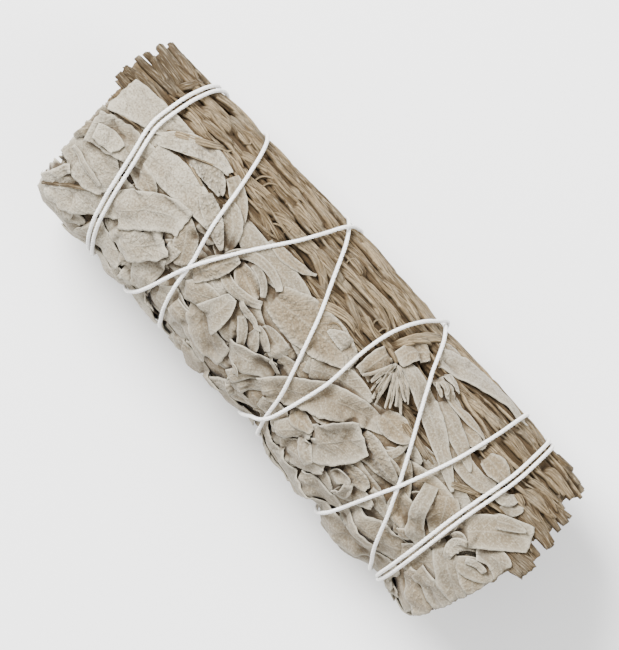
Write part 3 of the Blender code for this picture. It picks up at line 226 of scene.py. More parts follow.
# The leaves seen from above, lowest first: points along the middle from base to tip, in pixels of the
# photograph, the width in millimetres, the outline, the fold along the middle (ridge +, valley -), how far
# the left edge, the right edge and the tip curl up, and the surface
LEAVES = (
    # along the lower left edge
    (((150, 292), (170, 305), (188, 320)), 4.2, OVAL, 0.3, 0.0, 0.0, 0.0, PLAIN),
    (((166, 326), (200, 372), (248, 428)), 5.4, STRIP, 0.2, 0.3, 0.0, 0.0, SMOOTH),
    (((252, 408), (262, 436), (290, 470)), 4.6, LANCE, 0.2, 0.0, 0.0, 0.0, PLAIN),
    (((274, 455), (296, 484), (314, 510)), 5.4, STRIP, 0.2, 0.0, 0.0, 0.0, SMOOTH),
    (((306, 505), (340, 545), (376, 576)), 6.0, STRIP, 0.2, 0.0, 0.0, 0.0, SMOOTH),
    (((164, 298), (186, 326), (202, 362)), 4.0, LANCE, 0.3, 0.3, 0.0, 0.0, SMOOTH),
    (((345, 510), (375, 542), (416, 566)), 6.2, OVAL, 0.2, 0.0, 0.3, 0.0, PLAIN),
    (((80, 222), (96, 244), (118, 268)), 5.0, OVAL, 0.3, 0.0, 0.3, 0.0, PLAIN),
    # the left end
    (((45, 184), (72, 192), (104, 200), (140, 212)), 9.4, ROUND, 0.7, 0.0, 0.0, 0.0, PLAIN),
    (((78, 138), (92, 164), (106, 196)), 9.6, CUT, 0.9, 0.0, 0.3, 0.0, PLAIN),
    (((74, 148), (87, 167), (100, 189)), 1.1, STRIP, 0.7, 0.0, 0.0, 0.0, TAN_SMOOTH),
    (((112, 122), (102, 113), (90, 104)), 2.4, TORN, 0.0, 0.0, 0.3, 0.3, TAN_CRISP),
    (((104, 134), (88, 131), (74, 134)), 2.8, TORN, 0.4, 0.2, 0.0, 0.4, TAN_CRISP),
    (((72, 170), (64, 172), (58, 176)), 1.8, TORN, 0.2, 0.2, 0.0, 0.4, RAGGED),
    (((94, 126), (118, 140), (142, 156), (166, 178)), 6.4, CUT, -0.4, 0.3, 0.0, 0.0, RAGGED),
    (((98, 132), (112, 142), (120, 152)), 3.4, TORN, 0.3, 0.0, 0.5, 0.2, CRISP),
    (((116, 92), (146, 108), (172, 126), (200, 146)), 7.2, TAPERED, 0.1, 0.0, 0.2, 0.0, SMOOTH),
    # between the first wrap and the first crossing
    (((128, 168), (158, 194), (190, 218), (216, 238)), 4.6, LANCE, -0.3, 0.0, 0.3, 0.0, SMOOTH),
    (((140, 146), (170, 172), (196, 200), (214, 234)), 6.4, LANCE, 0.4, 0.3, 0.0, 0.3, PLAIN),
    (((136, 176), (150, 190), (150, 204)), 4.0, TRIANGLE, 0.3, 0.0, 0.0, 0.0, TAN),
    (((230, 168), (240, 196), (240, 236)), 2.8, LANCE, 0.3, 0.4, 0.0, 0.0, TAN),
    (((247, 214), (252, 240), (276, 270), (310, 306)), 5.4, OVAL, 0.2, 0.0, 0.0, 0.0, SMOOTH),
    (((228, 196), (234, 220), (226, 254)), 3.4, OVAL, 0.4, 0.5, 0.0, 0.0, PLAIN),
    (((204, 186), (212, 212), (222, 252)), 3.4, LANCE, 0.6, 0.3, 0.3, 0.0, PEBBLY),
    (((188, 220), (186, 244), (176, 270)), 4.2, OVAL, 0.4, 0.0, 0.0, 0.0, TAN),
    (((186, 156), (208, 168), (222, 196)), 4.6, OVAL, 0.3, 0.0, 0.0, 0.3, PEBBLY),
    (((154, 140), (184, 144), (208, 152), (232, 174)), 4.2, OVAL, 0.6, 0.0, 0.3, 0.3, WHITE),
    (((177, 246), (170, 256), (162, 268)), 2.6, TRIANGLE, 0.5, 0.3, 0.0, 0.2, WHITE),
    (((114, 250), (128, 262), (130, 284)), 4.4, TORN, 0.3, 0.0, 0.5, 0.3, RAGGED),
    (((152, 250), (146, 268), (134, 290)), 5.6, TRIANGLE, 0.3, 0.0, 0.4, 0.0, SMOOTH),
    (((106, 222), (134, 246), (164, 244)), 5.6, TORN, -0.4, 0.0, 0.4, 0.4, RAGGED),
    (((104, 214), (132, 212), (160, 214), (186, 226)), 6.8, BLUNT, 0.9, 0.0, 0.5, 0.5, PLAIN),
    # the folded leaves in the middle
    (((178, 290), (198, 296), (220, 306)), 5.0, OVAL, 0.2, 0.0, 0.0, 0.0, PLAIN),
    (((272, 240), (292, 262), (318, 274)), 2.4, LANCE, 0.5, 0.3, 0.0, 0.2, TAN),
    (((240, 262), (246, 280), (256, 300)), 4.0, OVAL, -0.6, 0.5, 0.5, 0.0, TAN),
    (((250, 262), (262, 278), (263, 298)), 1.5, STRIP, 0.4, 0.4, 0.0, 0.0, SMOOTH),
    (((221, 266), (232, 288), (262, 306)), 2.2, STRIP, 0.4, 0.5, 0.3, 0.0, SMOOTH),
    (((212, 354), (224, 362), (238, 368)), 3.4, OVAL, 0.4, 0.0, 0.5, 0.0, CRISP),
    (((228, 384), (246, 386), (268, 392)), 2.2, STRIP, 0.5, 0.0, 0.4, 0.0, CRISP),
    (((224, 378), (250, 374), (278, 386)), 2.4, STRIP, 0.6, 0.0, 0.4, 0.0, CRISP),
    (((270, 358), (284, 370), (284, 392)), 4.0, OVAL, 0.3, 0.0, 0.0, 0.0, SMOOTH),
    (((296, 360), (306, 374), (318, 388)), 3.6, OVAL, 0.0, 0.0, 0.0, 0.0, TAN),
    (((302, 358), (322, 370), (344, 382)), 3.8, TRIANGLE, 0.4, 0.0, 0.0, 0.0, PLAIN),
    (((300, 366), (340, 380), (370, 402)), 5.6, OVAL, 0.3, 0.0, 0.3, 0.0, SMOOTH),
    (((264, 288), (300, 318), (328, 340), (354, 364)), 9.0, OVAL, 0.2, 0.0, 0.0, 0.0, VELVET),
    (((232, 302), (230, 324), (232, 346)), 4.4, OVAL, -0.3, 0.4, 0.3, 0.0, SMOOTH),
    (((282, 358), (274, 342), (264, 326)), 3.8, TRIANGLE, 0.8, 0.5, 0.3, 0.3, CRISP),
    (((262, 354), (262, 340), (260, 326)), 3.2, TRIANGLE, 1.0, 0.3, 0.6, 0.3, CRISP),
    (((244, 352), (252, 342), (258, 328)), 3.4, TRIANGLE, 1.0, 0.4, 0.3, 0.3, CRISP),
    (((238, 312), (242, 330), (238, 348)), 1.7, STRIP, 0.7, 0.4, 0.3, 0.0, CRISP),
    (((240, 300), (251, 319), (262, 330)), 1.4, LANCE, 0.7, 0.5, 0.3, 0.0, WHITE),
    (((200, 310), (204, 336), (222, 360)), 6.0, BLUNT, 0.3, 0.5, 0.0, 0.0, PLAIN),
    (((198, 322), (212, 316), (233, 298)), 5.6, TAPERED, 0.5, 0.0, 0.6, 0.4, SMOOTH),
    (((223, 348), (246, 360), (272, 374)), 4.6, BLUNT, 0.4, 0.3, 0.0, 0.3, SMOOTH),
    (((269, 358), (273, 370), (276, 385)), 0.8, STRIP, 0.6, 0.4, 0.3, 0.0, WHITE),
    (((233, 364), (238, 366), (238, 372)), 1.4, TORN, 0.2, 0.8, 0.5, 0.4, CRISP),
    (((222, 262), (250, 256), (268, 268), (280, 292)), 1.9, STRIP, 0.5, 0.4, 0.3, 0.0, SMOOTH),
    (((184, 281), (208, 271), (240, 260)), 3.9, OVAL, 0.7, 0.3, 0.5, 0.0, PEBBLY),
    (((350, 348), (340, 338), (328, 330)), 3.0, TRIANGLE, 0.7, 0.4, 0.4, 0.4, WHITE),
    # below the middle crossing
    (((364, 424), (384, 434), (408, 440)), 6.0, OVAL, -0.3, 0.0, 0.0, 0.0, TAN),
    (((376, 452), (392, 464), (404, 482)), 6.0, OVAL, 0.2, 0.0, 0.0, 0.0, TAN),
    (((368, 438), (384, 453), (406, 442)), 1.6, STRIP, 0.4, 0.4, 0.4, 0.0, SMOOTH),
    (((376, 452), (388, 466), (400, 484)), 3.0, LANCE, 0.4, 0.3, 0.0, 0.0, SMOOTH),
    (((250, 400), (268, 416), (290, 434)), 4.0, OVAL, 0.5, 0.0, 0.5, 0.0, CRISP),
    (((270, 428), (288, 430), (308, 438)), 3.2, OVAL, 0.6, 0.5, 0.0, 0.3, CRISP),
    (((284, 412), (296, 422), (310, 432)), 3.0, OVAL, 0.4, 0.0, 0.0, 0.0, TAN),
    (((300, 468), (312, 478), (328, 492)), 4.6, OVAL, 0.3, 0.3, 0.0, 0.0, PLAIN),
    (((272, 444), (296, 456), (322, 470)), 4.8, OVAL, 0.6, 0.0, 0.8, 0.3, CRISP),
    (((298, 438), (304, 450), (310, 462)), 2.4, STRIP, 0.5, 0.4, 0.0, 0.0, CRISP),
    (((362, 488), (372, 502), (384, 522)), 2.6, LANCE, 0.4, 0.0, 0.3, 0.0, PLAIN),
    (((392, 492), (398, 508), (402, 528)), 5.6, OVAL, 0.2, 0.3, 0.0, 0.0, TAN),
    (((392, 530), (402, 532), (416, 540)), 2.4, OVAL, 0.5, 0.3, 0.6, 0.3, TAN),
    (((330, 498), (350, 496), (370, 507)), 3.8, OVAL, 0.5, 0.4, 0.0, 0.3, PLAIN),
    (((336, 466), (350, 474), (364, 490)), 3.2, OVAL, 0.4, 0.3, 0.0, 0.0, PEBBLY),
    (((326, 478), (338, 475), (348, 484)), 2.2, OVAL, -0.6, 0.9, 0.4, 0.4, CRISP),
    (((348, 480), (344, 492), (330, 492)), 1.8, STRIP, -0.5, 0.4, 0.8, 0.4, CRISP),
    (((352, 428), (372, 454), (395, 486)), 5.0, LANCE, 0.3, 0.0, 0.3, 0.0, PEBBLY),
    (((244, 392), (292, 394), (340, 404), (386, 431)), 6.0, ROUND_TIP, 0.3, 0.0, 0.3, 0.3, PLAIN),
    (((308, 444), (334, 443), (363, 438)), 7.6, BLUNT, 0.3, 0.4, 0.4, 0.4, PLAIN),
    (((292, 470), (312, 489), (334, 514)), 4.2, OVAL, 0.2, 0.0, 0.0, 0.0, SMOOTH),
    (((268, 438), (286, 470), (308, 500), (336, 530)), 4.4, STRIP, 0.2, 0.0, 0.0, 0.0, SMOOTH),
    (((312, 506), (336, 532), (366, 560), (388, 582)), 5.2, STRIP, 0.3, 0.0, 0.0, 0.0, SMOOTH),
    (((326, 506), (346, 524), (370, 550)), 3.2, LANCE, 0.4, 0.0, 0.0, 0.0, PLAIN),
    # the long leaves by the last stems
    (((378, 410), (392, 424), (410, 440)), 5.0, OVAL, 0.2, 0.0, 0.0, 0.0, TAN),
    (((442, 372), (450, 400), (466, 430), (484, 446)), 4.0, OVAL, 0.3, 0.3, 0.0, 0.0, TAN),
    (((448, 426), (460, 456), (474, 476), (498, 484)), 3.8, BLUNT, 0.3, 0.4, 0.3, 0.0, SMOOTH),
    (((438, 388), (448, 416), (460, 442), (469, 470)), 3.4, LANCE, 0.5, 0.3, 0.0, 0.0, SMOOTH),
    (((400, 352), (418, 382), (436, 430), (451, 490)), 3.9, LANCE, 0.5, 0.0, 0.3, 0.0, SMOOTH),
    (((482, 452), (494, 464), (508, 480)), 4.0, OVAL, -0.3, 0.3, 0.0, 0.0, TAN),
    (((498, 498), (508, 504), (522, 506)), 3.2, OVAL, 0.0, 0.0, 0.0, 0.0, SMOOTH),
    (((492, 486), (504, 496), (518, 494)), 2.8, OVAL, 0.4, 0.0, 0.4, 0.3, WHITE),
    (((440, 346), (452, 350), (466, 362)), 3.0, STRIP, 0.4, 0.3, 0.0, 0.0, TAN),
    (((438, 352), (418, 350), (398, 360)), 3.6, BLUNT, 0.6, 0.3, 0.4, 0.0, TAN_CRISP),
    (((394, 350), (378, 360), (362, 374)), 3.6, TORN, 0.6, 0.6, 0.4, 0.4, TAN_CRISP),
    (((436, 374), (442, 382), (446, 394)), 2.6, TORN, 0.5, 0.5, 0.5, 0.4, TAN_CRISP),
    (((444, 384), (456, 406), (470, 422), (488, 442)), 1.7, LANCE, 0.6, 0.3, 0.3, 0.0, TAN_SMOOTH),
    (((430, 350), (466, 368), (496, 390), (528, 424)), 5.2, LANCE, 0.5, 0.3, 0.3, 0.0, VEINED),
    (((446, 370), (452, 380), (457, 393)), 1.8, LANCE, 0.5, 0.4, 0.4, 0.6, WHITE),
    # the right end
    (((388, 556), (410, 562), (436, 574)), 6.4, OVAL, 0.2, 0.3, 0.0, 0.0, PLAIN),
    (((394, 568), (414, 588), (432, 612)), 6.6, CUT_TIP, 0.5, 0.5, 0.0, 0.4, RAGGED),
    (((408, 566), (424, 582), (444, 606)), 4.6, CUT_TIP, 0.5, 0.3, 0.3, 0.3, PLAIN),
    (((446, 488), (442, 510), (430, 536)), 6.2, OVAL, 0.4, 0.4, 0.0, 0.0, TAN_SMOOTH),
    (((433, 476), (424, 496), (414, 518), (418, 546)), 3.0, STRIP, 0.4, 0.3, 0.3, 0.0, SMOOTH),
    (((436, 540), (444, 566), (458, 602)), 4.8, ROUND_TIP, 0.4, 0.3, 0.3, 0.0, SMOOTH),
    (((452, 556), (468, 572), (470, 594)), 4.4, OVAL, 0.4, 0.0, 0.4, 0.3, PLAIN),
    (((450, 560), (470, 566), (490, 580)), 3.8, OVAL, 0.4, 0.5, 0.0, 0.3, SMOOTH),
    (((464, 558), (474, 562), (482, 570)), 1.2, TORN, 0.3, 0.6, 0.0, 0.5, WHITE),
    (((446, 540), (456, 536), (464, 542)), 2.0, OVAL, 0.4, 0.6, 0.3, 0.3, WHITE),
    (((444, 560), (450, 546), (474, 548)), 2.6, OVAL, 0.7, 0.5, 0.3, 0.0, WHITE),
    (((474, 552), (496, 560), (497, 584)), 4.2, ROUND, 0.5, 0.4, 0.3, 0.4, SMOOTH),
    (((456, 531), (492, 530), (530, 538)), 6.2, BLUNT, 0.5, 0.3, 0.5, 0.3, SMOOTH),
    (((490, 518), (506, 522), (524, 530)), 2.8, TRIANGLE, 0.4, 0.0, 0.5, 0.3, SMOOTH),
)
LEAF_SPACING = 0.35

# Flattened stems and leaf stalks among the bare stems, lowest first: two ends in pixels of the photograph,
# width in millimetres, and bow to the left as a share of the length
STALKS = (
    (177, 46, 204, 84, 3.2, 0.0),
    (164, 58, 190, 88, 2.4, 0.0),
    (130, 72, 156, 88, 2.6, 0.0),
    (145, 61, 188, 100, 1.9, 0.0),
    (157, 60, 172, 84, 1.8, 0.0),
    (203, 106, 238, 132, 2.8, 0.05),
    (226, 112, 270, 150, 2.2, 0.04),
    (246, 126, 272, 152, 2.0, 0.0),
    (267, 146, 306, 180, 2.4, 0.0),
    (288, 164, 338, 218, 2.8, 0.0),
    (267, 166, 322, 226, 2.0, -0.03),
    (294, 201, 320, 228, 2.6, 0.0),
    (264, 188, 300, 226, 1.9, 0.03),
    (258, 206, 292, 244, 2.0, 0.0),
    (247, 160, 276, 222, 1.5, -0.05),
    (230, 152, 274, 242, 1.7, 0.04),
    (193, 117, 244, 149, 2.0, 0.03),
    (240, 146, 292, 182, 2.0, -0.03),
    (290, 178, 330, 232, 1.9, 0.04),
    (271, 216, 308, 238, 1.6, 0.06),
    (188, 106, 214, 138, 1.6, 0.0),
    (241, 196, 262, 246, 1.6, 0.03),
    (346, 240, 398, 298, 2.4, 0.02),
    (360, 236, 432, 322, 2.8, 0.0),
    (384, 278, 428, 324, 2.2, 0.03),
    (326, 240, 352, 272, 2.0, 0.03),
    (298, 243, 318, 301, 1.7, 0.22),
    (309, 246, 352, 290, 1.8, 0.06),
    (346, 246, 368, 278, 2.2, 0.08),
    (352, 268, 392, 318, 2.0, -0.04),
    (339, 263, 396, 330, 1.5, 0.05),
    (361, 276, 406, 326, 2.4, 0.05),
    (334, 296, 366, 338, 1.8, -0.03),
    (350, 288, 366, 334, 1.5, -0.05),
    (330, 300, 350, 336, 1.7, 0.02),
    (320, 280, 340, 318, 1.5, 0.0),
    (177, 88, 212, 82, 1.4, 0.0),
    (446, 330, 478, 364, 2.2, 0.02),
    (452, 382, 520, 436, 2.6, 0.02),
    (462, 388, 510, 428, 2.0, -0.03),
    (454, 398, 500, 440, 2.2, 0.0),
    (446, 388, 486, 440, 1.5, 0.05),
    (484, 434, 524, 484, 2.4, 0.0),
    (502, 428, 548, 470, 2.4, 0.0),
    (514, 420, 556, 458, 2.2, 0.0),
    (492, 440, 520, 486, 1.6, 0.03),
    (480, 440, 512, 480, 1.5, 0.0),
    (510, 430, 526, 452, 1.2, 0.0),
    (518, 424, 540, 446, 1.1, 0.0),
    (528, 428, 538, 448, 1.0, 0.0),
    (556, 450, 572, 466, 3.4, 0.0),
    (534, 474, 562, 516, 3.0, 0.0),
    (546, 462, 570, 492, 2.8, 0.0),
    (518, 486, 548, 534, 2.6, 0.0),
    (526, 480, 556, 522, 1.6, 0.0),
    (516, 498, 545, 540, 3.2, 0.0),
    (505, 548, 530, 576, 4.6, 0.0),
    (500, 552, 516, 572, 2.2, 0.0),
)
# The share by which each is longer than what shows of it
STALK_OVERLAP = 0.12
# Stalks that lie over the leaves: points along them and the width
TOP_STALKS = (
    (((45, 182), (70, 188), (102, 197)), 0.7),
    (((108, 108), (126, 119), (146, 133)), 0.4),
    (((163, 142), (194, 158), (229, 170)), 0.35),
    (((190, 162), (198, 176), (206, 193)), 0.6),
    (((258, 182), (268, 176), (279, 181), (276, 190)), 0.35),
    (((262, 189), (272, 183), (283, 187)), 0.3),
    (((220, 146), (229, 151), (238, 147)), 0.35),
    (((274, 212), (284, 216), (292, 226), (286, 232)), 0.35),
    (((271, 223), (281, 225), (290, 233)), 0.3),
    (((243, 130), (250, 133), (254, 140), (247, 142)), 0.35),
    (((375, 322), (384, 318), (390, 325), (382, 332)), 0.35),
    (((379, 331), (388, 326), (395, 334)), 0.3),
    (((326, 326), (334, 322), (343, 331)), 0.35),
    (((296, 196), (306, 202), (312, 214)), 0.35),
    (((348, 262), (356, 258), (364, 266)), 0.3),
    (((439, 479), (462, 484), (488, 498)), 0.8),
    (((444, 482), (464, 489), (482, 494)), 0.6),
    (((466, 488), (488, 500), (508, 516)), 0.8),
    (((394, 410), (410, 432), (434, 468)), 1.4),
    (((402, 414), (416, 436), (436, 468)), 0.7),
    (((388, 342), (394, 354), (399, 366)), 0.9),
    (((390, 344), (428, 335), (455, 344), (468, 360)), 2.0),
    (((398, 342), (420, 339), (440, 342)), 1.1),
    (((160, 131), (190, 139), (222, 147), (240, 150)), 1.5),
    (((304, 297), (332, 308), (352, 322), (362, 342)), 1.9),
    (((515, 481), (534, 497), (553, 516)), 1.9),
    (((514, 486), (520, 498), (523, 508)), 1.5),
    (((524, 470), (540, 484), (558, 499)), 1.4),
    (((530, 462), (550, 478), (564, 492)), 0.8),
    (((522, 482), (536, 492), (548, 512)), 0.8),
    (((512, 490), (526, 508), (540, 520)), 0.7),
    (((500, 470), (520, 486), (534, 498)), 0.9),
    (((536, 486), (548, 496), (556, 510)), 0.7),
)
# Fans of thin strips: their root and the strips' tips, and how much higher than the root a strip may lie
TUFTS = (
    ((396, 363), (
        (362, 376), (367, 381), (368, 388), (374, 386), (371, 397), (372, 407), (378, 396), (377, 404),
        (383, 390), (384, 406), (388, 411), (391, 405), (394, 412), (397, 409), (400, 412), (404, 409),
        (409, 405), (406, 396),
    )),
    ((437, 380), ((443, 400), (446, 404), (440, 402))),
)
TUFT_DEPTH = 0.7

# What seeded rules add: large leaves at the bottom and smaller ones over them, stalks along the top and the
# side, leaves on the side and underneath, torn scraps, and fibres over the stems
SEED = 7
COVER_LEAVES = 46
BACKING_LEAVES = 64
LONG_STALKS = 17
SIDE_STALKS = 34
UNDER_LEAVES = 84
SCRAPS = 60
FIBRES = 190
# Up to this angle the camera sees a leaf edge on, so it stays flat
EDGE_ON = 214
# Layers of cut leaf in each end of a sprig, and of the middle of the bunch
END_LAYERS = 22
CORE_LAYERS = 26
# How far the middle of what they add stays from the bunch's ends, and the share of it that is turned round
END_MARGIN, REVERSED = 4, 0.3
# Its multiples, less their whole part, are evenly spread
GOLDEN = 0.618034

# A leaf: how thick it is, how wide a hollow it bridges, and how far it sinks into what is under it
LEAF_THICKNESS = 0.24
LEAF_STIFFNESS = 2.7
LEAF_SINK = 0.22
LEAF_CLEAR = 0.02
# How deep its base is tucked in, over what share of its length, and how far from the bunch's ends
TUCK = 1.0
TUCKED_SHARE, TUCK_MARGIN = 0.2, 3
# Heights of its fold, curled edges and curled tip, and of the soft swell, crinkles and frill of its blade
FOLD_HEIGHT, CURL_HEIGHT, TIP_HEIGHT = 1.1, 0.85, 0.8
SWELL, CRINKLE, FRILL = 0.16, 0.05, 0.22
RIB_DEPTH, RIB_WIDTH = 0.14, 0.3
# How steep and how high its facets are, and the length and depth of its pleats, and how far they wander
FACET_SLOPES, FACETS_HIGH = (0.1, 0.36), 0.75
PLEAT_PERIODS, PLEAT_DEPTH, PLEAT_BEND = ((4.5, 8.0), (2.2, 3.8)), 0.036, 0.12
# Torn edges: how far a leaf's sides, its ends and the cut at the bunch's own end wander, and the waves of its
# left and right side
EDGE_TEAR, END_TEAR, CUT_WAVE = 0.1, 0.4, 0.25
EDGE_WAVES = ((1.7, 3.7, 8.3), (2.1, 4.3, 7.1))
CURVE_POINTS = 121
# Leaves left of this x are paler than their surface says, and those further right than the blend are darker
PALE_LEAVES_TO = -28.0
PALE_BLEND, TONE_SPREAD = 12, 0.16
PALER, DARKER = -0.24, 0.25

# A flattened stalk: its outline, how wide a hollow it bridges, how far it sinks in, and its least thickness
STALK_OUTLINE = (0.6, 0.45, 0.4)
STALK_STIFFNESS, STALK_SINK, STALK_BODY = 2.6, 0.4, 0.3
# How wide its ridges are, how deep the grooves between them, and the width under which it has none
STALK_RIDGE = 0.5
GROOVE_DEPTH = 0.42
THIN_STALK = 0.8
# How deep its ends dive under what is beside them, and how dark their painted shade is there
STALK_DIVE = 1.5
STALK_SHADE = 0.6
# The angles at the left and right end up to which stalks stand out, and how far they and the others do
STALKS_UP_TO = (1.36, 1.6)
STALKS_BEYOND, LEAVES_BEYOND = 3.0, 0.3
# How far from an end a stalk is weathered, and how dark it gets at the left and at the right
WEATHERED = 8.0
DARK_LEFT, DARK_RIGHT = 1.1, 0.25

# Laying and pressing: how far under the outline the leaves and the stalks start, how far the floor gives way,
# its least radius, the radius inside which nothing is pressed, and how much the rest may be pressed
LEAVES_DEEP, STALKS_DEEP = 3.4, 3.0
GIVES = (-1.5, 5.5)
LEAST_FLOOR = 9.5
FIRM = 8.0
PRESSED = (0.8, 1.12)
# How fast the floor gives way, and over what width it, the pressing and the pressing's edge are evened out
GIVE_RATE, GIVE_WIDTH, PRESS_WIDTH, PRESS_EDGE = 0.9, 2.4, 2.6, 0.9
# The least share of its height to which the string presses a leaf
HELD_LEAST = 0.75
# Painted shade under what touches a sheet, and in a wider hollow: from how deep, for how deep, how dark, how
# wide
CONTACT, HOLLOW = (0.02, 1.5, 2.0), (0.45, 3, 0.8)
SHADE_WIDTHS = (0.45, 1.7)
# A pressed sheet's least thickness, its thickness where it rests on the ground, and the extra painted shade
# on its inner side
LEAST_THICKNESS, RESTING_THICKNESS, INNER_SHADE = 0.05, 0.2, 0.3
# Half the thickness of a packed leaf, and the cells round a sheet that its drape reads
PACKED_HALF = 0.13
DRAPE_MARGIN = 14

# What the materials read: a piece's own map, and marks at each of its points
LEAF_MAP = "leafmap"
# Of these marks, deep carries painted shade, edge marks a rim that is partly pale felt and partly a painted
# highlight, and groove carries the painted shade in a stalk's grooves
MARKS = ("tone", "edge", "pebble", "deep", "cut", "groove")

# Colours
LEAF_WHITE = (0.378, 0.34, 0.262)
LEAF_GREY = (0.192, 0.168, 0.124)
LEAF_TAN = (0.18, 0.134, 0.076)
# Pale felt of grain and veins, and the painted highlight along leaf rims
PALE_FELT_AND_RIM_HIGHLIGHT = (0.42, 0.385, 0.305)
# Dark specks of the grain, and the painted shade in the grooves between pebbles
LEAF_SPECK_AND_GROOVE_SHADE = (0.13, 0.1, 0.062)
# Painted shade, mixed in where the deep mark says a point lies under something, in a hollow or inside the
# bunch
PAINTED_DEEP_SHADE = (0.05, 0.030, 0.012)
STEM_LIGHT = (0.3, 0.226, 0.13)
STEM_MIDDLE = (0.118, 0.078, 0.036)
# Dark tone, streaks and grain of stems, and the painted shade in a stalk's grooves
STEM_DARK = (0.042, 0.027, 0.012)
# Pale fibres on stem ridges, partly a painted highlight
STEM_FIBRE_AND_HIGHLIGHT = (0.43, 0.35, 0.235)
CUT_END = (0.13, 0.09, 0.05)
COTTON = (0.97, 0.96, 0.935)
COTTON_SHADE = (0.74, 0.72, 0.67)


# Places on the bunch


def from_photo(px, py):
    """x and y of the point that the photograph shows at a pixel."""
    right, down = px - BUNCH_PIXEL[0], py - BUNCH_PIXEL[1]
    along = right * BUNCH_DIRECTION[0] + down * BUNCH_DIRECTION[1]
    across = right * BUNCH_DIRECTION[1] - down * BUNCH_DIRECTION[0]
    return MM_PER_PIXEL * along, MM_PER_PIXEL * across


def outline_radius(x, angle):
    stations = np.array(OUTLINE)
    side = np.where(
        np.cos(angle) > 0,
        np.interp(x, stations[:, 0], stations[:, 1]),
        np.interp(x, stations[:, 0], stations[:, 2]),
    )
    upright = np.where(np.sin(angle) > 0, TOP_RADIUS, np.interp(x, stations[:, 0], stations[:, 3]))
    return 1 / np.sqrt((np.cos(angle) / side) ** 2 + (np.sin(angle) / upright) ** 2)


def angle_above(x, y):
    """The angle of the surface point that is seen from above at x, y."""
    side = float(outline_radius(x, 0.0 if y > 0 else math.pi))
    across = max(-0.995, min(0.995, y / side))
    return math.atan2(TOP_RADIUS * math.sqrt(1 - across**2), side * across)


def cartesian(x, angle, radius):
    shift_x, shift_y, height = MIDDLE
    places = x + shift_x + 0 * radius, shift_y + radius * np.cos(angle), height + radius * np.sin(angle)
    return np.stack(places, -1)


def leaf_side(angle):
    """1 among the leaves and 0 among the bare stems, with a soft change between."""
    degrees = np.degrees(angle) % 360
    start, end = LEAF_SECTOR
    rise = np.clip((degrees - start - SECTOR_MARGIN) / SECTOR_BLEND, 0, 1)
    fall = np.clip((end - SECTOR_MARGIN - degrees) / SECTOR_BLEND, 0, 1)
    return rise * rise * (3 - 2 * rise) * fall * fall * (3 - 2 * fall)


def floor_radius(angle, lowest):
    """The radius that keeps a point above the given height."""
    down = np.maximum(-np.sin(angle), 1e-6)
    return np.where(np.sin(angle) < -0.2, (MIDDLE[2] - lowest) / down, FAR)


def end_limits(angle):
    crown = np.clip(np.sin(angle), 0, 1)
    return LEFT_END - LEFT_END_CROWN * crown, RIGHT_END + RIGHT_END_CROWN * crown**2


# Fields over the grid


def gaussian(width):
    reach = int(3 * width) + 1
    kernel = np.exp(-0.5 * (np.arange(-reach, reach + 1) / width) ** 2)
    return kernel / kernel.sum(), reach


def blurred(field, width):
    """A Gaussian blur, closed round the bunch. The width is in millimetres."""
    kernel, reach = gaussian(width / CELL)
    padded = np.pad(field, ((reach, reach), (0, 0)), mode="edge")
    rows = sum(k * padded[i : i + len(field)] for i, k in enumerate(kernel))
    return sum(k * np.roll(rows, i - reach, axis=1) for i, k in enumerate(kernel))


def shifted(patch, reach, axis):
    """The patch moved along an axis by each number of cells up to reach, with its edges held."""
    margin = [(0, 0), (0, 0)]
    margin[axis] = (reach, reach)
    padded = np.pad(patch, margin, mode="edge")
    count = patch.shape[axis]
    return [padded.take(range(i, i + count), axis) for i in range(2 * reach + 1)]


def softened(patch, width):
    """A Gaussian blur of an open patch. The width is in cells."""
    kernel, reach = gaussian(width)
    for axis in (0, 1):
        patch = sum(k * part for k, part in zip(kernel, shifted(patch, reach, axis)))
    return patch


def raised(patch, cells):
    """Each cell's highest neighbour within some cells."""
    for axis in (0, 1):
        patch = np.max(shifted(patch, cells, axis), axis=0)
    return patch


def smoothed(values, width):
    """A Gaussian smoothing of a row of values. The width is in steps."""
    kernel, reach = gaussian(width)
    return np.convolve(np.pad(values, reach, mode="edge"), kernel, mode="valid")


def running_total(steps):
    return np.concatenate([[0.0], np.cumsum(steps)])


def cells_of(x, angle):
    row = np.clip(np.round((x - GRID_X[0]) / CELL).astype(int), 0, len(GRID_X) - 1)
    column = np.round(angle / TURN * TURN_CELLS).astype(int) % TURN_CELLS
    return row, column


def between_cells(field, row, column):
    """A field read between its cells, where its first column follows its last."""
    i, j = np.floor(row).astype(int), np.floor(column).astype(int)
    a, b = row - i, column - j
    columns = field.shape[1]
    j, k = j % columns, (j + 1) % columns
    near = field[i, j] * (1 - b) + field[i, k] * b
    far = field[i + 1, j] * (1 - b) + field[i + 1, k] * b
    return near * (1 - a) + far * a


def field_at(field, x, angle):
    """A field over the whole grid, read at any place."""
    row = np.clip((x - GRID_X[0]) / CELL, 0, len(GRID_X) - PAST_LAST)
    return between_cells(field, row, angle / TURN * TURN_CELLS)


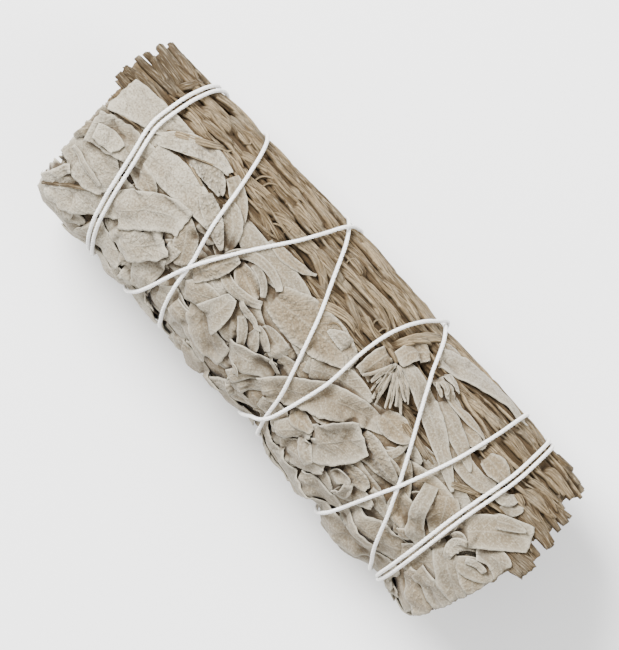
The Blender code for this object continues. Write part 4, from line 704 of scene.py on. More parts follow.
class Relief:
    """The top of everything that has been laid so far."""

    def __init__(self, top):
        self.top = top.copy()

    def patch(self, x, angle, margin):
        """The cells round a sheet, and the row and the column where they start."""
        row0 = max(0, int((x.min() - GRID_X[0]) / CELL) - margin)
        row1 = min(len(GRID_X), int((x.max() - GRID_X[0]) / CELL) + margin + 2)
        column0 = int(math.floor(angle.min() / TURN * TURN_CELLS)) - margin
        column1 = int(math.floor(angle.max() / TURN * TURN_CELLS)) + margin + 2
        columns = np.arange(column0, column1) % TURN_CELLS
        return self.top[row0:row1][:, columns], row0, column0

    def drape(self, x, angle, stiffness):
        """The radius of a sheet that bridges hollows smaller than its stiffness, and of what is under it."""
        patch, row0, column0 = self.patch(x, angle, DRAPE_MARGIN)
        floor = raised(patch, 1)
        over = softened(floor, stiffness)
        row = np.clip((x - GRID_X[0]) / CELL - row0, 0, len(patch) - PAST_LAST)
        column = np.clip(angle / TURN * TURN_CELLS - column0, 0, patch.shape[1] - PAST_LAST)
        return between_cells(over, row, column), between_cells(floor, row, column)

    def add(self, x, angle, radius):
        fine = [refined(part, 3) for part in (x, angle, radius)]
        np.maximum.at(self.top, cells_of(fine[0], fine[1]), fine[2])


def refined(values, factor):
    """Values of a grid of points, at points factor times as close."""
    for axis in (0, 1):
        count = values.shape[axis]
        wanted = np.linspace(0, count - 1, (count - 1) * factor + 1)
        low = np.minimum(wanted.astype(int), count - 2)
        part = wanted - low
        values = np.moveaxis(values, axis, -1)
        values = values[..., low] * (1 - part) + values[..., low + 1] * part
        values = np.moveaxis(values, -1, axis)
    return values


# Meshes


class Gather:
    """Points and faces of one piece, collected sheet by sheet, with what its material reads at each point."""

    def __init__(self):
        self.points, self.faces, self.uv = [], [], []
        self.marks = {name: [] for name in MARKS}
        self.count = 0

    def add(self, points, faces, uv, **marks):
        points = points.reshape(-1, 3)
        self.points.append(points)
        self.faces.append(np.asarray(faces) + self.count)
        self.uv.append(uv.reshape(-1, 2))
        for name, values in self.marks.items():
            values.append(np.broadcast_to(np.asarray(marks.get(name, 0.0), float).ravel(), len(points)))
        self.count += len(points)

    def add_both_sides(self, x, angle, low, high, uv, **marks):
        """Adds a closed sheet between two radii. Each mark covers one side or both."""
        both = np.concatenate([cartesian(x, angle, radius).reshape(-1, 3) for radius in (high, low)])
        self.add(both, sheet_faces(*x.shape), np.concatenate([uv, uv]), **marks)

    def piece(self, name, node, slot, material):
        """Makes the mesh, which stands for a node of the frame and rides with it."""
        mesh = bpy.data.meshes.new(name)
        points = np.concatenate(self.points) * MM
        faces = np.concatenate(self.faces)
        mesh.vertices.add(len(points))
        mesh.vertices.foreach_set("co", points.ravel())
        mesh.loops.add(faces.size)
        mesh.loops.foreach_set("vertex_index", faces.ravel().astype(np.int32))
        mesh.polygons.add(len(faces))
        mesh.polygons.foreach_set("loop_start", np.arange(0, faces.size, 4, dtype=np.int32))
        mesh.update(calc_edges=True)
        layer = mesh.uv_layers.new(name=LEAF_MAP)
        layer.data.foreach_set("uv", np.concatenate(self.uv)[faces.ravel()].ravel())
        for mark, values in self.marks.items():
            attribute = mesh.attributes.new(mark, "FLOAT", "POINT")
            attribute.data.foreach_set("value", np.concatenate(values))
        mesh.polygons.foreach_set("use_smooth", np.ones(len(faces), bool))
        mesh.validate()
        mesh.materials.append(material)
        piece = bpy.data.objects.new(name, mesh)
        bpy.context.scene.collection.objects.link(piece)
        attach(piece, "root")
        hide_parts(node)


def sheet_faces(rows, columns):
    """Quads of a closed sheet whose outer grid of points comes before its inner one."""
    count = rows * columns
    i, k = np.meshgrid(np.arange(rows - 1), np.arange(columns - 1), indexing="ij")
    a = (i * columns + k).ravel()
    top = np.stack([a, a + 1, a + columns + 1, a + columns], 1)
    bottom = top[:, ::-1] + count
    rim = list(range(columns))
    rim += [i * columns + columns - 1 for i in range(1, rows)]
    rim += [(rows - 1) * columns + k for k in range(columns - 2, -1, -1)]
    rim += [i * columns for i in range(rows - 2, 0, -1)]
    rim = np.array(rim)
    following = np.roll(rim, -1)
    sides = np.stack([following, rim, rim + count, following + count], 1)
    return np.concatenate([top, bottom, sides])


def tube_faces(rings, sides):
    i, k = np.meshgrid(np.arange(rings - 1), np.arange(sides), indexing="ij")
    a, b = i * sides + k, i * sides + (k + 1) % sides
    return np.stack([a.ravel(), (a + sides).ravel(), (b + sides).ravel(), b.ravel()], 1)


# Leaf forms


def half_width(share, outline):
    """The outline's half width, from 0 to 1, at a share of the length."""
    base, tip, widest = outline
    before = base + (1 - base) * np.sin(math.pi / 2 * np.clip(share / widest, 0, 1))
    beyond = np.clip((share - widest) / (1 - widest), 0, 1)
    after = tip + (1 - tip) * np.cos(math.pi / 2 * beyond) ** 0.8
    return np.where(share < widest, before, after)


def waves(values, draw, lengths):
    """A smooth random curve of a few sine waves, from -1 to 1."""
    total = 0.0
    for length in lengths:
        total = total + np.sin(values * TURN / length + draw.uniform(0, TURN))
    return total / len(lengths)


def curve_through(spine):
    """x and distance round the bunch of closely spaced points on a smooth curve along a leaf's middle."""
    points = np.array([(x, NOMINAL_RADIUS * angle) for x, angle in spine])
    steps = running_total(np.hypot(*np.diff(points, axis=0).T))
    wanted = np.linspace(0, steps[-1], CURVE_POINTS)
    degree = min(len(spine) - 1, 3)
    fitted = [np.polyval(np.polyfit(steps, points[:, axis], degree), wanted) for axis in (0, 1)]
    return np.stack(fitted, 1)


def leaf_grid(spine, width, outline, spacing, torn, draw, wander=0.0, beyond=0.0):
    """A leaf's grid: x, angle, shares of the length and of the half width, and both in millimetres."""
    middle = curve_through(spine)
    step = np.gradient(middle, axis=0)
    length = float(np.hypot(*np.diff(middle, axis=0).T).sum())
    left = np.stack([-step[:, 1], step[:, 0]], 1) / np.hypot(step[:, 0], step[:, 1])[:, None]
    rows = max(5, int(length / spacing) + 1)
    columns = max(4, int(width / spacing) + 1)
    v = np.linspace(-1, 1, columns)
    half = v * width / 2
    fine = np.linspace(0, 1, CURVE_POINTS)
    shape = half_width(fine, outline)
    margins = [1 + torn * EDGE_TEAR * waves(fine * length, draw, lengths) for lengths in EDGE_WAVES]
    middle = middle + left * (wander * waves(fine * length, draw, (11.0, 19.0)))[:, None]
    ragged = torn * END_TEAR * waves(half, draw, (1.9, 3.1, 5.3))
    cut = torn * END_TEAR * waves(half, draw, (1.7, 3.7)) + CUT_WAVE * waves(half, draw, (5.3, 8.9))
    grid = np.zeros((3, rows, columns))
    for k, place in enumerate(half):
        side = place * shape * margins[int(place > 0)]
        line = middle + left * side[:, None]
        line = line + step * (CURVE_POINTS - 1) / length * (fine * ragged[k])[:, None]
        low, high = end_limits(line[:, 1] / NOMINAL_RADIUS)
        inside = np.flatnonzero((line[:, 0] > low + cut[k] - beyond) & (line[:, 0] < high + cut[k] + beyond))
        first, last = (fine[inside[0]], fine[inside[-1]]) if len(inside) > 3 else (0.0, 1.0)
        wanted = np.linspace(first, last, rows)
        grid[0, :, k] = np.interp(wanted, fine, line[:, 0])
        grid[1, :, k] = np.interp(wanted, fine, line[:, 1]) / NOMINAL_RADIUS
        grid[2, :, k] = wanted
    share = grid[2]
    across = half[None, :] * half_width(share, outline)
    return grid[0], grid[1], share, np.broadcast_to(v[None, :], share.shape), share * length, across


def bowed(ends, bow):
    """A spine between two ends that bows to the left by a share of its length."""
    (x0, a0), (x1, a1) = ends
    x = (x0 + x1) / 2 + bow * NOMINAL_RADIUS * (a1 - a0)
    angle = (a0 + a1) / 2 - bow * (x1 - x0) / NOMINAL_RADIUS
    return (x0, a0), (x, angle), (x1, a1)


def longer(ends, by):
    """The two ends moved apart by a share of their distance."""
    (x0, a0), (x1, a1) = ends
    return (x0 - by * (x1 - x0), a0 - by * (a1 - a0)), (x1 + by * (x1 - x0), a1 + by * (a1 - a0))


def seen(pixels):
    """Places on the bunch of points in the photograph."""
    places = [from_photo(*pixel) for pixel in pixels]
    return [(x, angle_above(x, y)) for x, y in places]


def soft_step(share):
    share = np.clip(share, 0, 1)
    return share * share * (3 - 2 * share)


def pleats(distance, period):
    """Straight folds, to and fro, from -1 to 1."""
    return 4 * np.abs((distance / period) % 1.0 - 0.5) - 1


def creases(along, across, draw, crumple):
    """Flat facets that meet at sharp folds, as in a pressed and crumpled leaf."""
    total = np.zeros_like(along)
    length, width = along.max() - along.min(), across.max() - across.min()
    for _ in range(2 + int(crumple * 3 + length / 9)):
        turn = draw.uniform(0, math.pi)
        centre = along.min() + length * draw.random(), across.min() + width * draw.random()
        distance = (along - centre[0]) * math.cos(turn) + (across - centre[1]) * math.sin(turn)
        total += draw.choice((-1, 1)) * draw.uniform(*FACET_SLOPES) * crumple * np.abs(distance)
    total = FACETS_HIGH * np.tanh((total - total.mean()) / FACETS_HIGH)
    for period in [draw.uniform(*span) for span in PLEAT_PERIODS]:
        turn = draw.uniform(0, math.pi)
        bent = PLEAT_BEND * waves(along, draw, (3.1, 6.7)) * period
        distance = along * math.cos(turn) + across * math.sin(turn) + bent
        hold = 0.5 + 0.5 * waves(along + 0.7 * across, draw, (4.3, 7.9))
        total += PLEAT_DEPTH * period * crumple * hold * pleats(distance, period)
    return total


def leaf_lift(share, v, along, across, fold, curls, crumple, draw):
    """How far each point of a leaf stands off what it lies on."""
    curl_left, curl_right, curl_tip = curls
    middle = np.sin(math.pi * np.clip(share, 0.06, 0.94))
    ridge = max(fold, 0) * (1 - np.abs(v)) + max(-fold, 0) * np.abs(v)
    edges = curl_right * np.clip(-v, 0, 1) ** 2.5 + curl_left * np.clip(v, 0, 1) ** 2.5
    rib = -RIB_DEPTH * np.exp(-((across / RIB_WIDTH) ** 2)) * np.clip(1.2 - share, 0, 1)
    swell = SWELL * waves(along, draw, (5.3, 8.9)) * waves(across + 0.3 * along, draw, (3.7, 6.1))
    small = CRINKLE * crumple * waves(along + across, draw, (1.7, 2.9))
    swell = swell + small * waves(along - across, draw, (1.3, 2.3))
    frill = FRILL * crumple * np.abs(v) ** 3 * waves(along, draw, (2.2, 3.7))
    bent = creases(along, across, draw, crumple)
    tip = TIP_HEIGHT * curl_tip * share**3
    return (FOLD_HEIGHT * ridge + CURL_HEIGHT * edges) * middle + tip + rib + swell + frill + bent


# Leaves and stalks, one by one


def lay_sheet(relief, grid, lift, tuck):
    """Lays a leaf with its base tucked under what is there, and returns its inner and outer radius."""
    x, angle, share = grid[:3]
    over, floor = relief.drape(x, angle, LEAF_STIFFNESS)
    tucked = tuck * soft_step(1 - share / TUCKED_SHARE)
    low = over - LEAF_SINK - tucked + lift
    low = np.where(tucked > 0.3 * tuck, low, np.maximum(low, floor + LEAF_CLEAR))
    high = low + LEAF_THICKNESS
    relief.add(x, angle, high)
    return low, high


class Sheet:
    """A laid leaf or stalk: its grid, its radii, and what its material reads."""

    def __init__(self, grid, low, high, **marks):
        self.x, self.angle, self.share, self.v, self.along, self.across = grid
        self.low, self.high, self.marks = low, high, marks


def lay_leaf(relief, spine, width, outline, fold, curls, surface, spacing, draw):
    crumple, pebble, tone, torn = surface
    grid = leaf_grid(spine, width, outline, spacing, torn, draw)
    lift = leaf_lift(*grid[2:6], fold, curls, crumple, draw)
    tuck = TUCK if LEFT_END + TUCK_MARGIN < spine[0][0] < RIGHT_END - TUCK_MARGIN else 0.0
    low, high = lay_sheet(relief, grid, lift, tuck)
    # How near the rim a point is, for a painted highlight there that is partly the pale felt of the edge
    edge = np.clip(np.maximum(np.abs(grid[3]), np.abs(2 * grid[2] - 1)), 0, 1) ** 6
    darker = soft_step((spine[len(spine) // 2][0] - PALE_LEAVES_TO) / PALE_BLEND)
    tone = tone + draw.uniform(-TONE_SPREAD, TONE_SPREAD) + PALER + (DARKER - PALER) * darker
    return Sheet(grid, low, high, tone=np.clip(tone, 0, 1), edge=edge, pebble=pebble)


def lay_stalk(relief, spine, width, draw, spacing=0.7, tone=None, wander=0.35, thick=0.3):
    """A stiff flattened stem with grooves along it, which bridges the hollows that it crosses."""
    among_stems = spine[0][1] < STALKS_UP_TO[int(spine[0][0] > 0)]
    beyond = STALKS_BEYOND if among_stems else LEAVES_BEYOND
    grid = leaf_grid(spine, width, STALK_OUTLINE, spacing, 0.6, draw, wander, beyond)
    x, angle, share, v, along, across = grid
    ridges = max(2, round(width / STALK_RIDGE))
    keep = np.linspace(-1, 1, 4 * ridges + 1 if width > THIN_STALK else 5)
    over = relief.drape(x, angle, STALK_STIFFNESS)[0]
    stiff = max(1.5, 2.2 / spacing)
    middle = smoothed(0.5 * over.mean(axis=1) + 0.5 * over.max(axis=1), stiff)
    tilt = smoothed(np.clip((over[:, -1] - over[:, 0]) / 2, -0.3 * width, 0.3 * width), stiff)
    grid = [np.stack([np.interp(keep, v[0], row) for row in part]) for part in grid]
    x, angle, share, v, along, across = grid
    turned = draw.uniform(-0.04, 0.04) * along + 0.25 * waves(along, draw, (13.0, 29.0))
    # groove shapes the grooves and is also a mark for the painted shade in them
    groove = 1 - np.abs(np.sin(math.pi * ridges / 2 * (v + 1) + turned)) ** 0.55
    shell = np.clip(1 - v**2, 0, 1) ** 0.4
    uneven = 1 + 0.12 * waves(along, draw, (5.0, 9.0))
    height = thick * width**0.5 * shell * (1 - GROOVE_DEPTH * groove) * uneven
    left_end, right_end = end_limits(angle)
    inside = soft_step((np.minimum(x - left_end, right_end - x) - 2) / 3)
    length = along.max()
    near = np.minimum(along, length - along) / min(4.0, 0.3 * length)
    dive = STALK_DIVE * min(width, 1.4) / 1.4 * inside * (1 - soft_step(near))
    low = middle[:, None] + tilt[:, None] * v - STALK_SINK + 0.06 * waves(along, draw, (5.0, 8.0)) - dive
    high = low + STALK_BODY + height
    relief.add(x, angle, high)
    if tone is None:
        tone = draw.random() ** 0.8
    for dark, to_end in ((DARK_LEFT, x - left_end), (DARK_RIGHT, right_end - x)):
        tone = tone + dark * np.clip(1 - to_end / WEATHERED, 0, 1)
    # Painted shade where its ends dive under
    return Sheet(grid, low, high, tone=tone, groove=groove, deep=STALK_SHADE * np.clip(dive, 0, 1))


# What is laid, in order


def spread(number, first):
    """Shares from 0 to 1, evenly spread in an irregular order."""
    return (number * GOLDEN + first) % 1.0


def random_ends(draw, length, degrees, turn_most):
    """Two ends of a leaf or stalk at an angle of the bunch, turned at random, and at times end for end."""
    middle = LEFT_END + END_MARGIN + draw.random() * (RIGHT_END - LEFT_END - 2 * END_MARGIN)
    turn = math.radians(draw.uniform(-turn_most, turn_most)) + (math.pi if draw.random() < REVERSED else 0.0)
    step, side = length / 2 * math.cos(turn), length / 2 * math.sin(turn) / NOMINAL_RADIUS
    angle = math.radians(degrees)
    return (middle - step, angle - side), (middle + step, angle + side)


def lay_everything(floor):
    """Lays stalks, leaves and fibres on a floor. Returns the relief, the leaves and the stalks."""
    draw = random.Random(SEED)
    relief = Relief(floor)
    leaves, stalks = [], []
    start, end = LEAF_SECTOR

    def leaf(*rest):
        leaves.append(lay_leaf(relief, *rest, draw))

    def stalk(spine, width, *rest):
        stalks.append(lay_stalk(relief, spine, width, draw, *rest))

    def spine_at(length, degrees, turn_most, bow):
        ends = random_ends(draw, length, degrees, turn_most)
        return bowed(ends, draw.uniform(-bow, bow))

    for number in range(COVER_LEAVES):
        degrees = start + 4 + (end - start - 8) * ((number + 0.5) / COVER_LEAVES)
        spine = spine_at(draw.uniform(18, 32), degrees, 22, 0.06)
        surface = draw.choice((PLAIN, SMOOTH, TAN, RAGGED))
        curls = [draw.choice((0.0, 0.3)) for _ in range(3)]
        leaf(spine, draw.uniform(7, 11), draw.choice((OVAL, CUT, LANCE)), 0.2, curls, surface, 1.0)
    for number in range(BACKING_LEAVES):
        spine = spine_at(draw.uniform(14, 26), 86 + 102 * spread(number, 0.1), 24, 0.06)
        surface = draw.choice((PLAIN, SMOOTH, TAN, TAN_SMOOTH, SMOOTH))
        leaf(spine, draw.uniform(5, 8.5), draw.choice((OVAL, CUT, STRIP)), 0.2, FLAT, surface, 0.7)
    for number in range(LONG_STALKS):
        spine = spine_at(draw.uniform(24, 60), -24 + 100 * spread(number, 0.5), 3, 0.015)
        stalk(spine, draw.uniform(1.5, 3.0), 0.8)
    for number in range(SIDE_STALKS):
        spine = spine_at(draw.uniform(26, 54), -44 + 60 * spread(number, 0.0), 5, 0.02)
        stalk(spine, draw.uniform(1.4, 3.0), 1.2)
    for number in range(UNDER_LEAVES):
        degrees = 176 + 140 * spread(number, 0.3)
        spine = spine_at(draw.uniform(10, 26), degrees, 35, 0.1)
        surface = draw.choice((PLAIN, SMOOTH, CRISP, PEBBLY, WHITE, TAN))
        form = draw.choice((OVAL, OVAL, LANCE, TORN, CUT))
        calm = 1.0 if degrees > EDGE_ON else 0.0
        curls = [calm * draw.choice((0.0, 0.0, 0.4, 0.6)) for _ in range(3)]
        width = draw.uniform(5, 9.5)
        fold = calm * draw.choice((0.0, 0.3, 0.6, -0.4))
        leaf(spine, width, form, fold, curls, surface if calm else SMOOTH, 0.6)
    for px0, py0, px1, py1, width, bow in STALKS:
        stalk(bowed(longer(seen(((px0, py0), (px1, py1))), STALK_OVERLAP), bow), width)
    for _ in range(SCRAPS):
        spine = random_ends(draw, draw.uniform(3.5, 8.0), draw.uniform(88, 175), 80)
        surface = draw.choice((CRISP, PEBBLY, WHITE, TAN, RAGGED))
        form = draw.choice((OVAL, TORN, TRIANGLE, CUT))
        curls = [draw.choice((0.0, 0.4, 0.8)) for _ in range(3)]
        leaf(spine, draw.uniform(2.2, 4.2), form, draw.choice((0.6, -0.5)), curls, surface, 0.45)
    for _ in range(FIBRES):
        length = draw.uniform(4.0, 12.0) if draw.random() < 0.5 else draw.uniform(12.0, 34.0)
        spine = spine_at(length, draw.uniform(-24, 80), 90 / length, 0.1)
        stalk(spine, draw.uniform(0.3, 0.8), 0.7, draw.uniform(0.0, 0.9), 0.5, draw.uniform(0.3, 0.6))
    for pixels, width, outline, fold, left, right, tip, surface in LEAVES:
        leaf(seen(pixels), width, outline, fold, (right, left, tip), surface, LEAF_SPACING)
    for root, tips in TUFTS:
        before = highest = relief.top
        for tip in tips:
            stacked = draw.uniform(0, TUFT_DEPTH)
            relief.top = before + stacked
            bend = draw.uniform(-3, 3)
            bent = (0.5 * (root[0] + tip[0]) + bend, 0.5 * (root[1] + tip[1]) - bend)
            fold, curl = draw.choice((0.5, -0.4)), draw.choice((0.2, 0.5))
            end = tuple(near + (far - near) * draw.uniform(0.82, 1.04) for near, far in zip(root, tip))
            width = draw.uniform(0.45, 0.85)
            leaf(seen((root, bent, end)), width, STRIP, fold, (curl, 0.2, 0.3), TAN_CRISP, 0.25)
            highest = np.maximum(highest, relief.top - stacked)
        relief.top = highest
    for pixels, width in TOP_STALKS:
        stalk(seen(pixels), width, 0.45, draw.uniform(0.0, 0.6), 0.1)
    return relief, leaves, stalks


# The string


def route_over_bunch():
    """x and angle of closely spaced points along the string, in the order of winding."""
    knot = math.radians(KNOT_ANGLE)
    places = [(knot - TURN, KNOT_X)]
    for number, (strand, shift) in enumerate(WINDING):
        for x, y in strand:
            places.append((number * TURN + angle_above(x, y), x + shift))
    places.append(((len(WINDING) - 1) * TURN + knot, KNOT_X + STRING / 2))
    places = np.array(places)
    angle = np.arange(places[0, 0], places[-1, 0], math.radians(1.0))
    return smoothed(np.interp(angle, places[:, 0], places[:, 1]), ROUTE_SMOOTHING), angle


def string_pull(route):
    """How far the string pulls the surface in, over the grid."""
    marks = np.zeros((len(GRID_X), TURN_CELLS))
    marks[cells_of(*route)] = 1.0
    pull = blurred(marks, PINCH_WIDTH)
    pull = np.minimum(pull / np.quantile(pull[pull > LEAST_PULL], FULL_PULL), MOST_PULL)
    return pull * (STEM_PULL + (1 - STEM_PULL) * leaf_side(GRID_ANGLE)[None, :])


def string_radius(route, surface, target):
    """The radius of the string's middle along its route, over the surface and over its own earlier passes."""
    x, angle = route
    resting = np.minimum(raised(surface, 1) + STRING_LIFT, target + STRING_SNUG)
    radius = field_at(resting, x, angle) + STRING / 2
    around = NOMINAL_RADIUS * angle
    length = running_total(np.hypot(np.diff(x), np.diff(around)))
    turn = TURN * NOMINAL_RADIUS
    apart = around[:, None] - around[None, :]
    sideways = apart - turn * np.round(apart / turn)
    flat = np.hypot(sideways, x[:, None] - x[None, :])
    order = np.arange(len(x))
    later = (order[:, None] - order[None, :] > SAME_PASS) & (flat < STRING)
    over = np.sqrt(np.maximum(STRING**2 - flat**2, 0.0))
    sag = (length[:, None] - length[None, :]) ** 2 / (2 * STRING_BEND)
    near = np.abs(length[:, None] - length[None, :]) < STRING_SPAN
    for _ in range(3):
        radius = np.max(np.where(near, radius[None, :] - sag, -FAR), axis=1)
        lift = np.where(later, radius[None, :] + over, -FAR).max(axis=1)
        radius = np.maximum(radius, lift)
    ceiling = floor_radius(angle, STRING / 2 + LOWEST)
    for _ in range(3):
        lower = np.where(later.T, ceiling[None, :] - over.T, FAR).min(axis=1)
        ceiling = np.minimum(ceiling, lower)
        ceiling = np.min(np.where(near, ceiling[None, :] + sag, FAR), axis=1)
    return smoothed(np.minimum(radius, ceiling), 2.0)


def held_down(route, radius):
    """The radius under which the string holds what it crosses, over the grid."""
    limit = np.full((len(GRID_X), TURN_CELLS), FAR)
    row, column = cells_of(*route)
    for i in range(-STRING_REACH, STRING_REACH + 1):
        for j in range(-STRING_REACH, STRING_REACH + 1):
            beside = max(CELL * math.hypot(i, j) - STRING / 2, 0)
            spot = np.clip(row + i, 0, len(GRID_X) - 1), (column + j) % TURN_CELLS
            np.minimum.at(limit, spot, radius - HOLD_UNDER * STRING + HOLD_RISE * beside)
    return limit


def resampled(points, step):
    """Points a step apart on a path, and their distance along it."""
    steps = running_total(np.linalg.norm(np.diff(points, axis=0), axis=1))
    wanted = np.linspace(0, steps[-1], max(3, int(steps[-1] / step) + 1))
    return np.stack([np.interp(wanted, steps, points[:, axis]) for axis in range(3)], axis=1), wanted


def frames_along(path):
    """Two directions across a path at each of its points, carried along it without twist."""
    along = np.gradient(path, axis=0)
    along /= np.linalg.norm(along, axis=1)[:, None]
    side = np.cross(along[0], (0.0, 0.0, 1.0))
    if np.linalg.norm(side) < 0.1:
        side = np.cross(along[0], (0.0, 1.0, 0.0))
    sides, others = [], []
    for tangent in along:
        side = side - tangent * side.dot(tangent)
        side = side / np.linalg.norm(side)
        sides.append(side)
        others.append(np.cross(tangent, side))
    return np.array(sides), np.array(others)


def twisted_string(gather, path, diameter, frayed=0.0):
    """A string of plies twisted together along a path."""
    path, length = resampled(path, STRING_STEP)
    side, other = frames_along(path)
    rings, around = len(path), STRING_SIDES
    turns = np.arange(around) * TURN / around
    spin = TURN * length / PLY_PITCH
    lobes = 0.9 + 0.1 * np.abs(np.cos(PLIES / 2 * turns))[None, :]
    hairy = 1 + 0.03 * np.sin(23.1 * length)[:, None] * np.cos(5 * turns + 1.7)[None, :]
    ends = np.ones(rings)
    ends[0] = ends[-1] = 0.35
    radius = diameter / 2 * lobes * hairy * (ends * (1 + frayed * np.linspace(0, 1, rings) ** 4))[:, None]
    turned = turns[None, :] + spin[:, None]
    points = path[:, None, :] + radius[..., None] * (
        np.cos(turned)[..., None] * side[:, None, :] + np.sin(turned)[..., None] * other[:, None, :]
    )
    uv = np.stack(np.broadcast_arrays(length[:, None] * 0.1, turns[None, :] / TURN), -1)
    points = np.concatenate([points.reshape(-1, 3), path[:1], path[-1:]])
    uv = np.concatenate([uv.reshape(-1, 2), np.zeros((2, 2))])
    first, last, start = rings * around, rings * around + 1, (rings - 1) * around
    fans = [(k, k + 1, (k + 2) % around) for k in range(0, around, 2)]
    caps = [(first, *fan) for fan in fans] + [(last, *(start + k for k in reversed(fan))) for fan in fans]
    # Painted shade in the grooves between the plies
    groove = np.broadcast_to(np.abs(np.sin(PLIES / 2 * turns)), (rings, around)).ravel()
    groove = np.concatenate([groove, [0.5, 0.5]])
    gather.add(points, np.concatenate([tube_faces(rings, around), caps]), uv, deep=groove)


# Stems


def stem_span(number, across=None):
    """Where a stem starts and ends. Across is the place across the bunch of one that shows from above."""
    left, right = HIDDEN_LEFT, HIDDEN_RIGHT
    if across is not None:
        left = float(np.interp(across, *np.transpose(STEMS_LEFT)))
        right = float(np.interp(across, *np.transpose(STEMS_RIGHT)))
    ragged_left, ragged_right = STEM_RAGGED
    return left + ragged_left * math.sin(2.4 * number), right + ragged_right * math.sin(1.7 * number + 0.8)


def ridged_stem(gather, path, widths, sides, tone, draw):
    """A dried stem with ridges along it and rough cut ends."""
    path = np.asarray(path)
    side, other = frames_along(path)
    turns = np.arange(sides) * TURN / sides
    length = running_total(np.linalg.norm(np.diff(path, axis=0), axis=1))
    shape = np.ones((len(path), sides))
    for n, size in STEM_RIDGES:
        drift = draw.uniform(0, 6.28) + STEM_TWIST * waves(length, draw, (14.0, 31.0))
        shape += size * np.cos(n * turns[None, :] + drift[:, None])
    shape += STEM_FINE * waves(length, draw, (3.1, 5.7))[:, None] * np.cos(5 * turns + 1.0)[None, :]
    rough = np.array([draw.uniform(-STEM_ROUGH, STEM_ROUGH) for _ in range(sides)])
    rough = (rough + np.roll(rough, 1) + np.roll(rough, -1)) / 2
    rings, marks, places = [], [], []
    radius = np.broadcast_to(widths, len(path)) / 2

    def ring(index, scale, shift, cut):
        spoke = (radius[index] * scale * shape[index])[:, None]
        points = path[index] + spoke * (
            np.cos(turns)[:, None] * side[index] + np.sin(turns)[:, None] * other[index]
        )
        rings.append(points + np.outer(shift, (1.0, 0.0, 0.0)))
        marks.append(np.full(sides, cut))
        places.append(np.stack([np.full(sides, 0.1 * length[index]), turns / TURN], 1))

    last = len(path) - 1
    for scale, depth in STEM_END:
        ring(0, scale, np.full(sides, depth) + 0.5 * rough * scale, 1.0)
    ring(0, 0.97, 0.7 * rough, 0.8)
    for index in range(1, last):
        ring(index, 1.0, np.zeros(sides), 0.0)
    ring(last, 0.97, 0.7 * rough, 0.8)
    for scale, depth in reversed(STEM_END):
        ring(last, scale, np.full(sides, -depth) + 0.5 * rough * scale, 1.0)
    # Painted shade on the part of a stem inside the bunch, fading out towards its ends
    beyond = np.maximum(path[:, 0] - STEMS_SHOW[1], STEMS_SHOW[0] - path[:, 0])
    inside = np.clip(STEM_FADE - beyond, 0.0, STEM_FADE) / STEM_FADE
    inside = np.concatenate([[inside[0]] * len(STEM_END), inside, [inside[-1]] * len(STEM_END)])
    deep = np.tile(0.9 * inside[:, None], (1, sides))
    faces = tube_faces(len(rings), sides)
    gather.add(np.array(rings), faces, np.array(places), tone=tone, cut=np.array(marks), deep=deep)


def stem_path(number, depth, degrees, arc, spacing, draw):
    """A bare stem's path and widths."""
    across = NOMINAL_RADIUS * math.cos(math.radians(degrees)) if depth < 5 else None
    left, right = stem_span(number, across)
    x = np.linspace(left, right, int((right - left) / spacing) + 1)
    angle = np.radians(degrees + SWAY * np.sin(x / SWAY_LENGTH + 0.6))
    angle = angle + TURN_WANDER * waves(x, draw, (13.0, 23.0))
    radius = outline_radius(x, angle) - depth + DEPTH_WANDER * waves(x, draw, (9.0, 19.0))
    apart = 2 * radius * math.sin(arc / 2)
    width = np.clip(apart - STEM_GAP, *STEM_WIDTHS) + WIDTH_WANDER * waves(x, draw, (8.0, 15.0))
    return cartesian(x, angle, radius), width


def end_stations(left, right):
    """Places along a stem of which only the ends show."""
    near = np.array(END_STATIONS)
    return np.concatenate([left + near, right - near[::-1]])


def stem_tubes():
    """The outer stems' own tops over the grid, so that the stalks lie on them."""
    top = np.zeros((len(GRID_X), TURN_CELLS))
    draw = random.Random(SEED + 1)
    layer, count, depth, first, spacing = STEM_LAYERS[0]
    arc = spacing / (NOMINAL_RADIUS - OUTER_ROW_DEPTH)
    for i in range(count):
        path, width = stem_path(i + len(layer), depth, first - math.degrees(arc) * i, arc, 0.5, draw)
        y, z = path[:, 1] - MIDDLE[1], path[:, 2] - MIDDLE[2]
        radius, angle = np.hypot(y, z), np.arctan2(z, y)
        for across in np.linspace(-1, 1, 9):
            side = across * width / 2
            height = radius + np.sqrt(np.maximum(width**2 / 4 - side**2, 0))
            np.maximum.at(top, cells_of(path[:, 0] - MIDDLE[0], angle + side / radius), height)
    return top


# Materials


def new_group(name, inputs, outputs):
    group = bpy.data.node_groups.new(name, "ShaderNodeTree")
    for label, default in inputs:
        socket = group.interface.new_socket(label, in_out="INPUT", socket_type="NodeSocketFloat")
        socket.default_value = default
    for label in outputs:
        group.interface.new_socket(label, in_out="OUTPUT", socket_type="NodeSocketFloat")
    return group, group.nodes.new("NodeGroupInput"), group.nodes.new("NodeGroupOutput")


def own_map(group):
    """A piece's own map, in millimetres on a leaf or stalk."""
    node = group.nodes.new("ShaderNodeUVMap")
    node.uv_map = LEAF_MAP
    return node.outputs["UV"]


def noise(group, place, detail, roughness):
    node = group.nodes.new("ShaderNodeTexNoise")
    node.inputs["Detail"].default_value = detail
    node.inputs["Roughness"].default_value = roughness
    group.links.new(place, node.inputs["Vector"])
    return node


def maths(tree, kind, *values, clamp=False):
    """A sum with numbers or the outputs of other nodes."""
    node = tree.nodes.new("ShaderNodeMath")
    node.operation = kind
    node.use_clamp = clamp
    for socket, value in zip(node.inputs, values):
        if isinstance(value, (int, float)):
            socket.default_value = value
        else:
            tree.links.new(value, socket)
    return node.outputs["Value"]


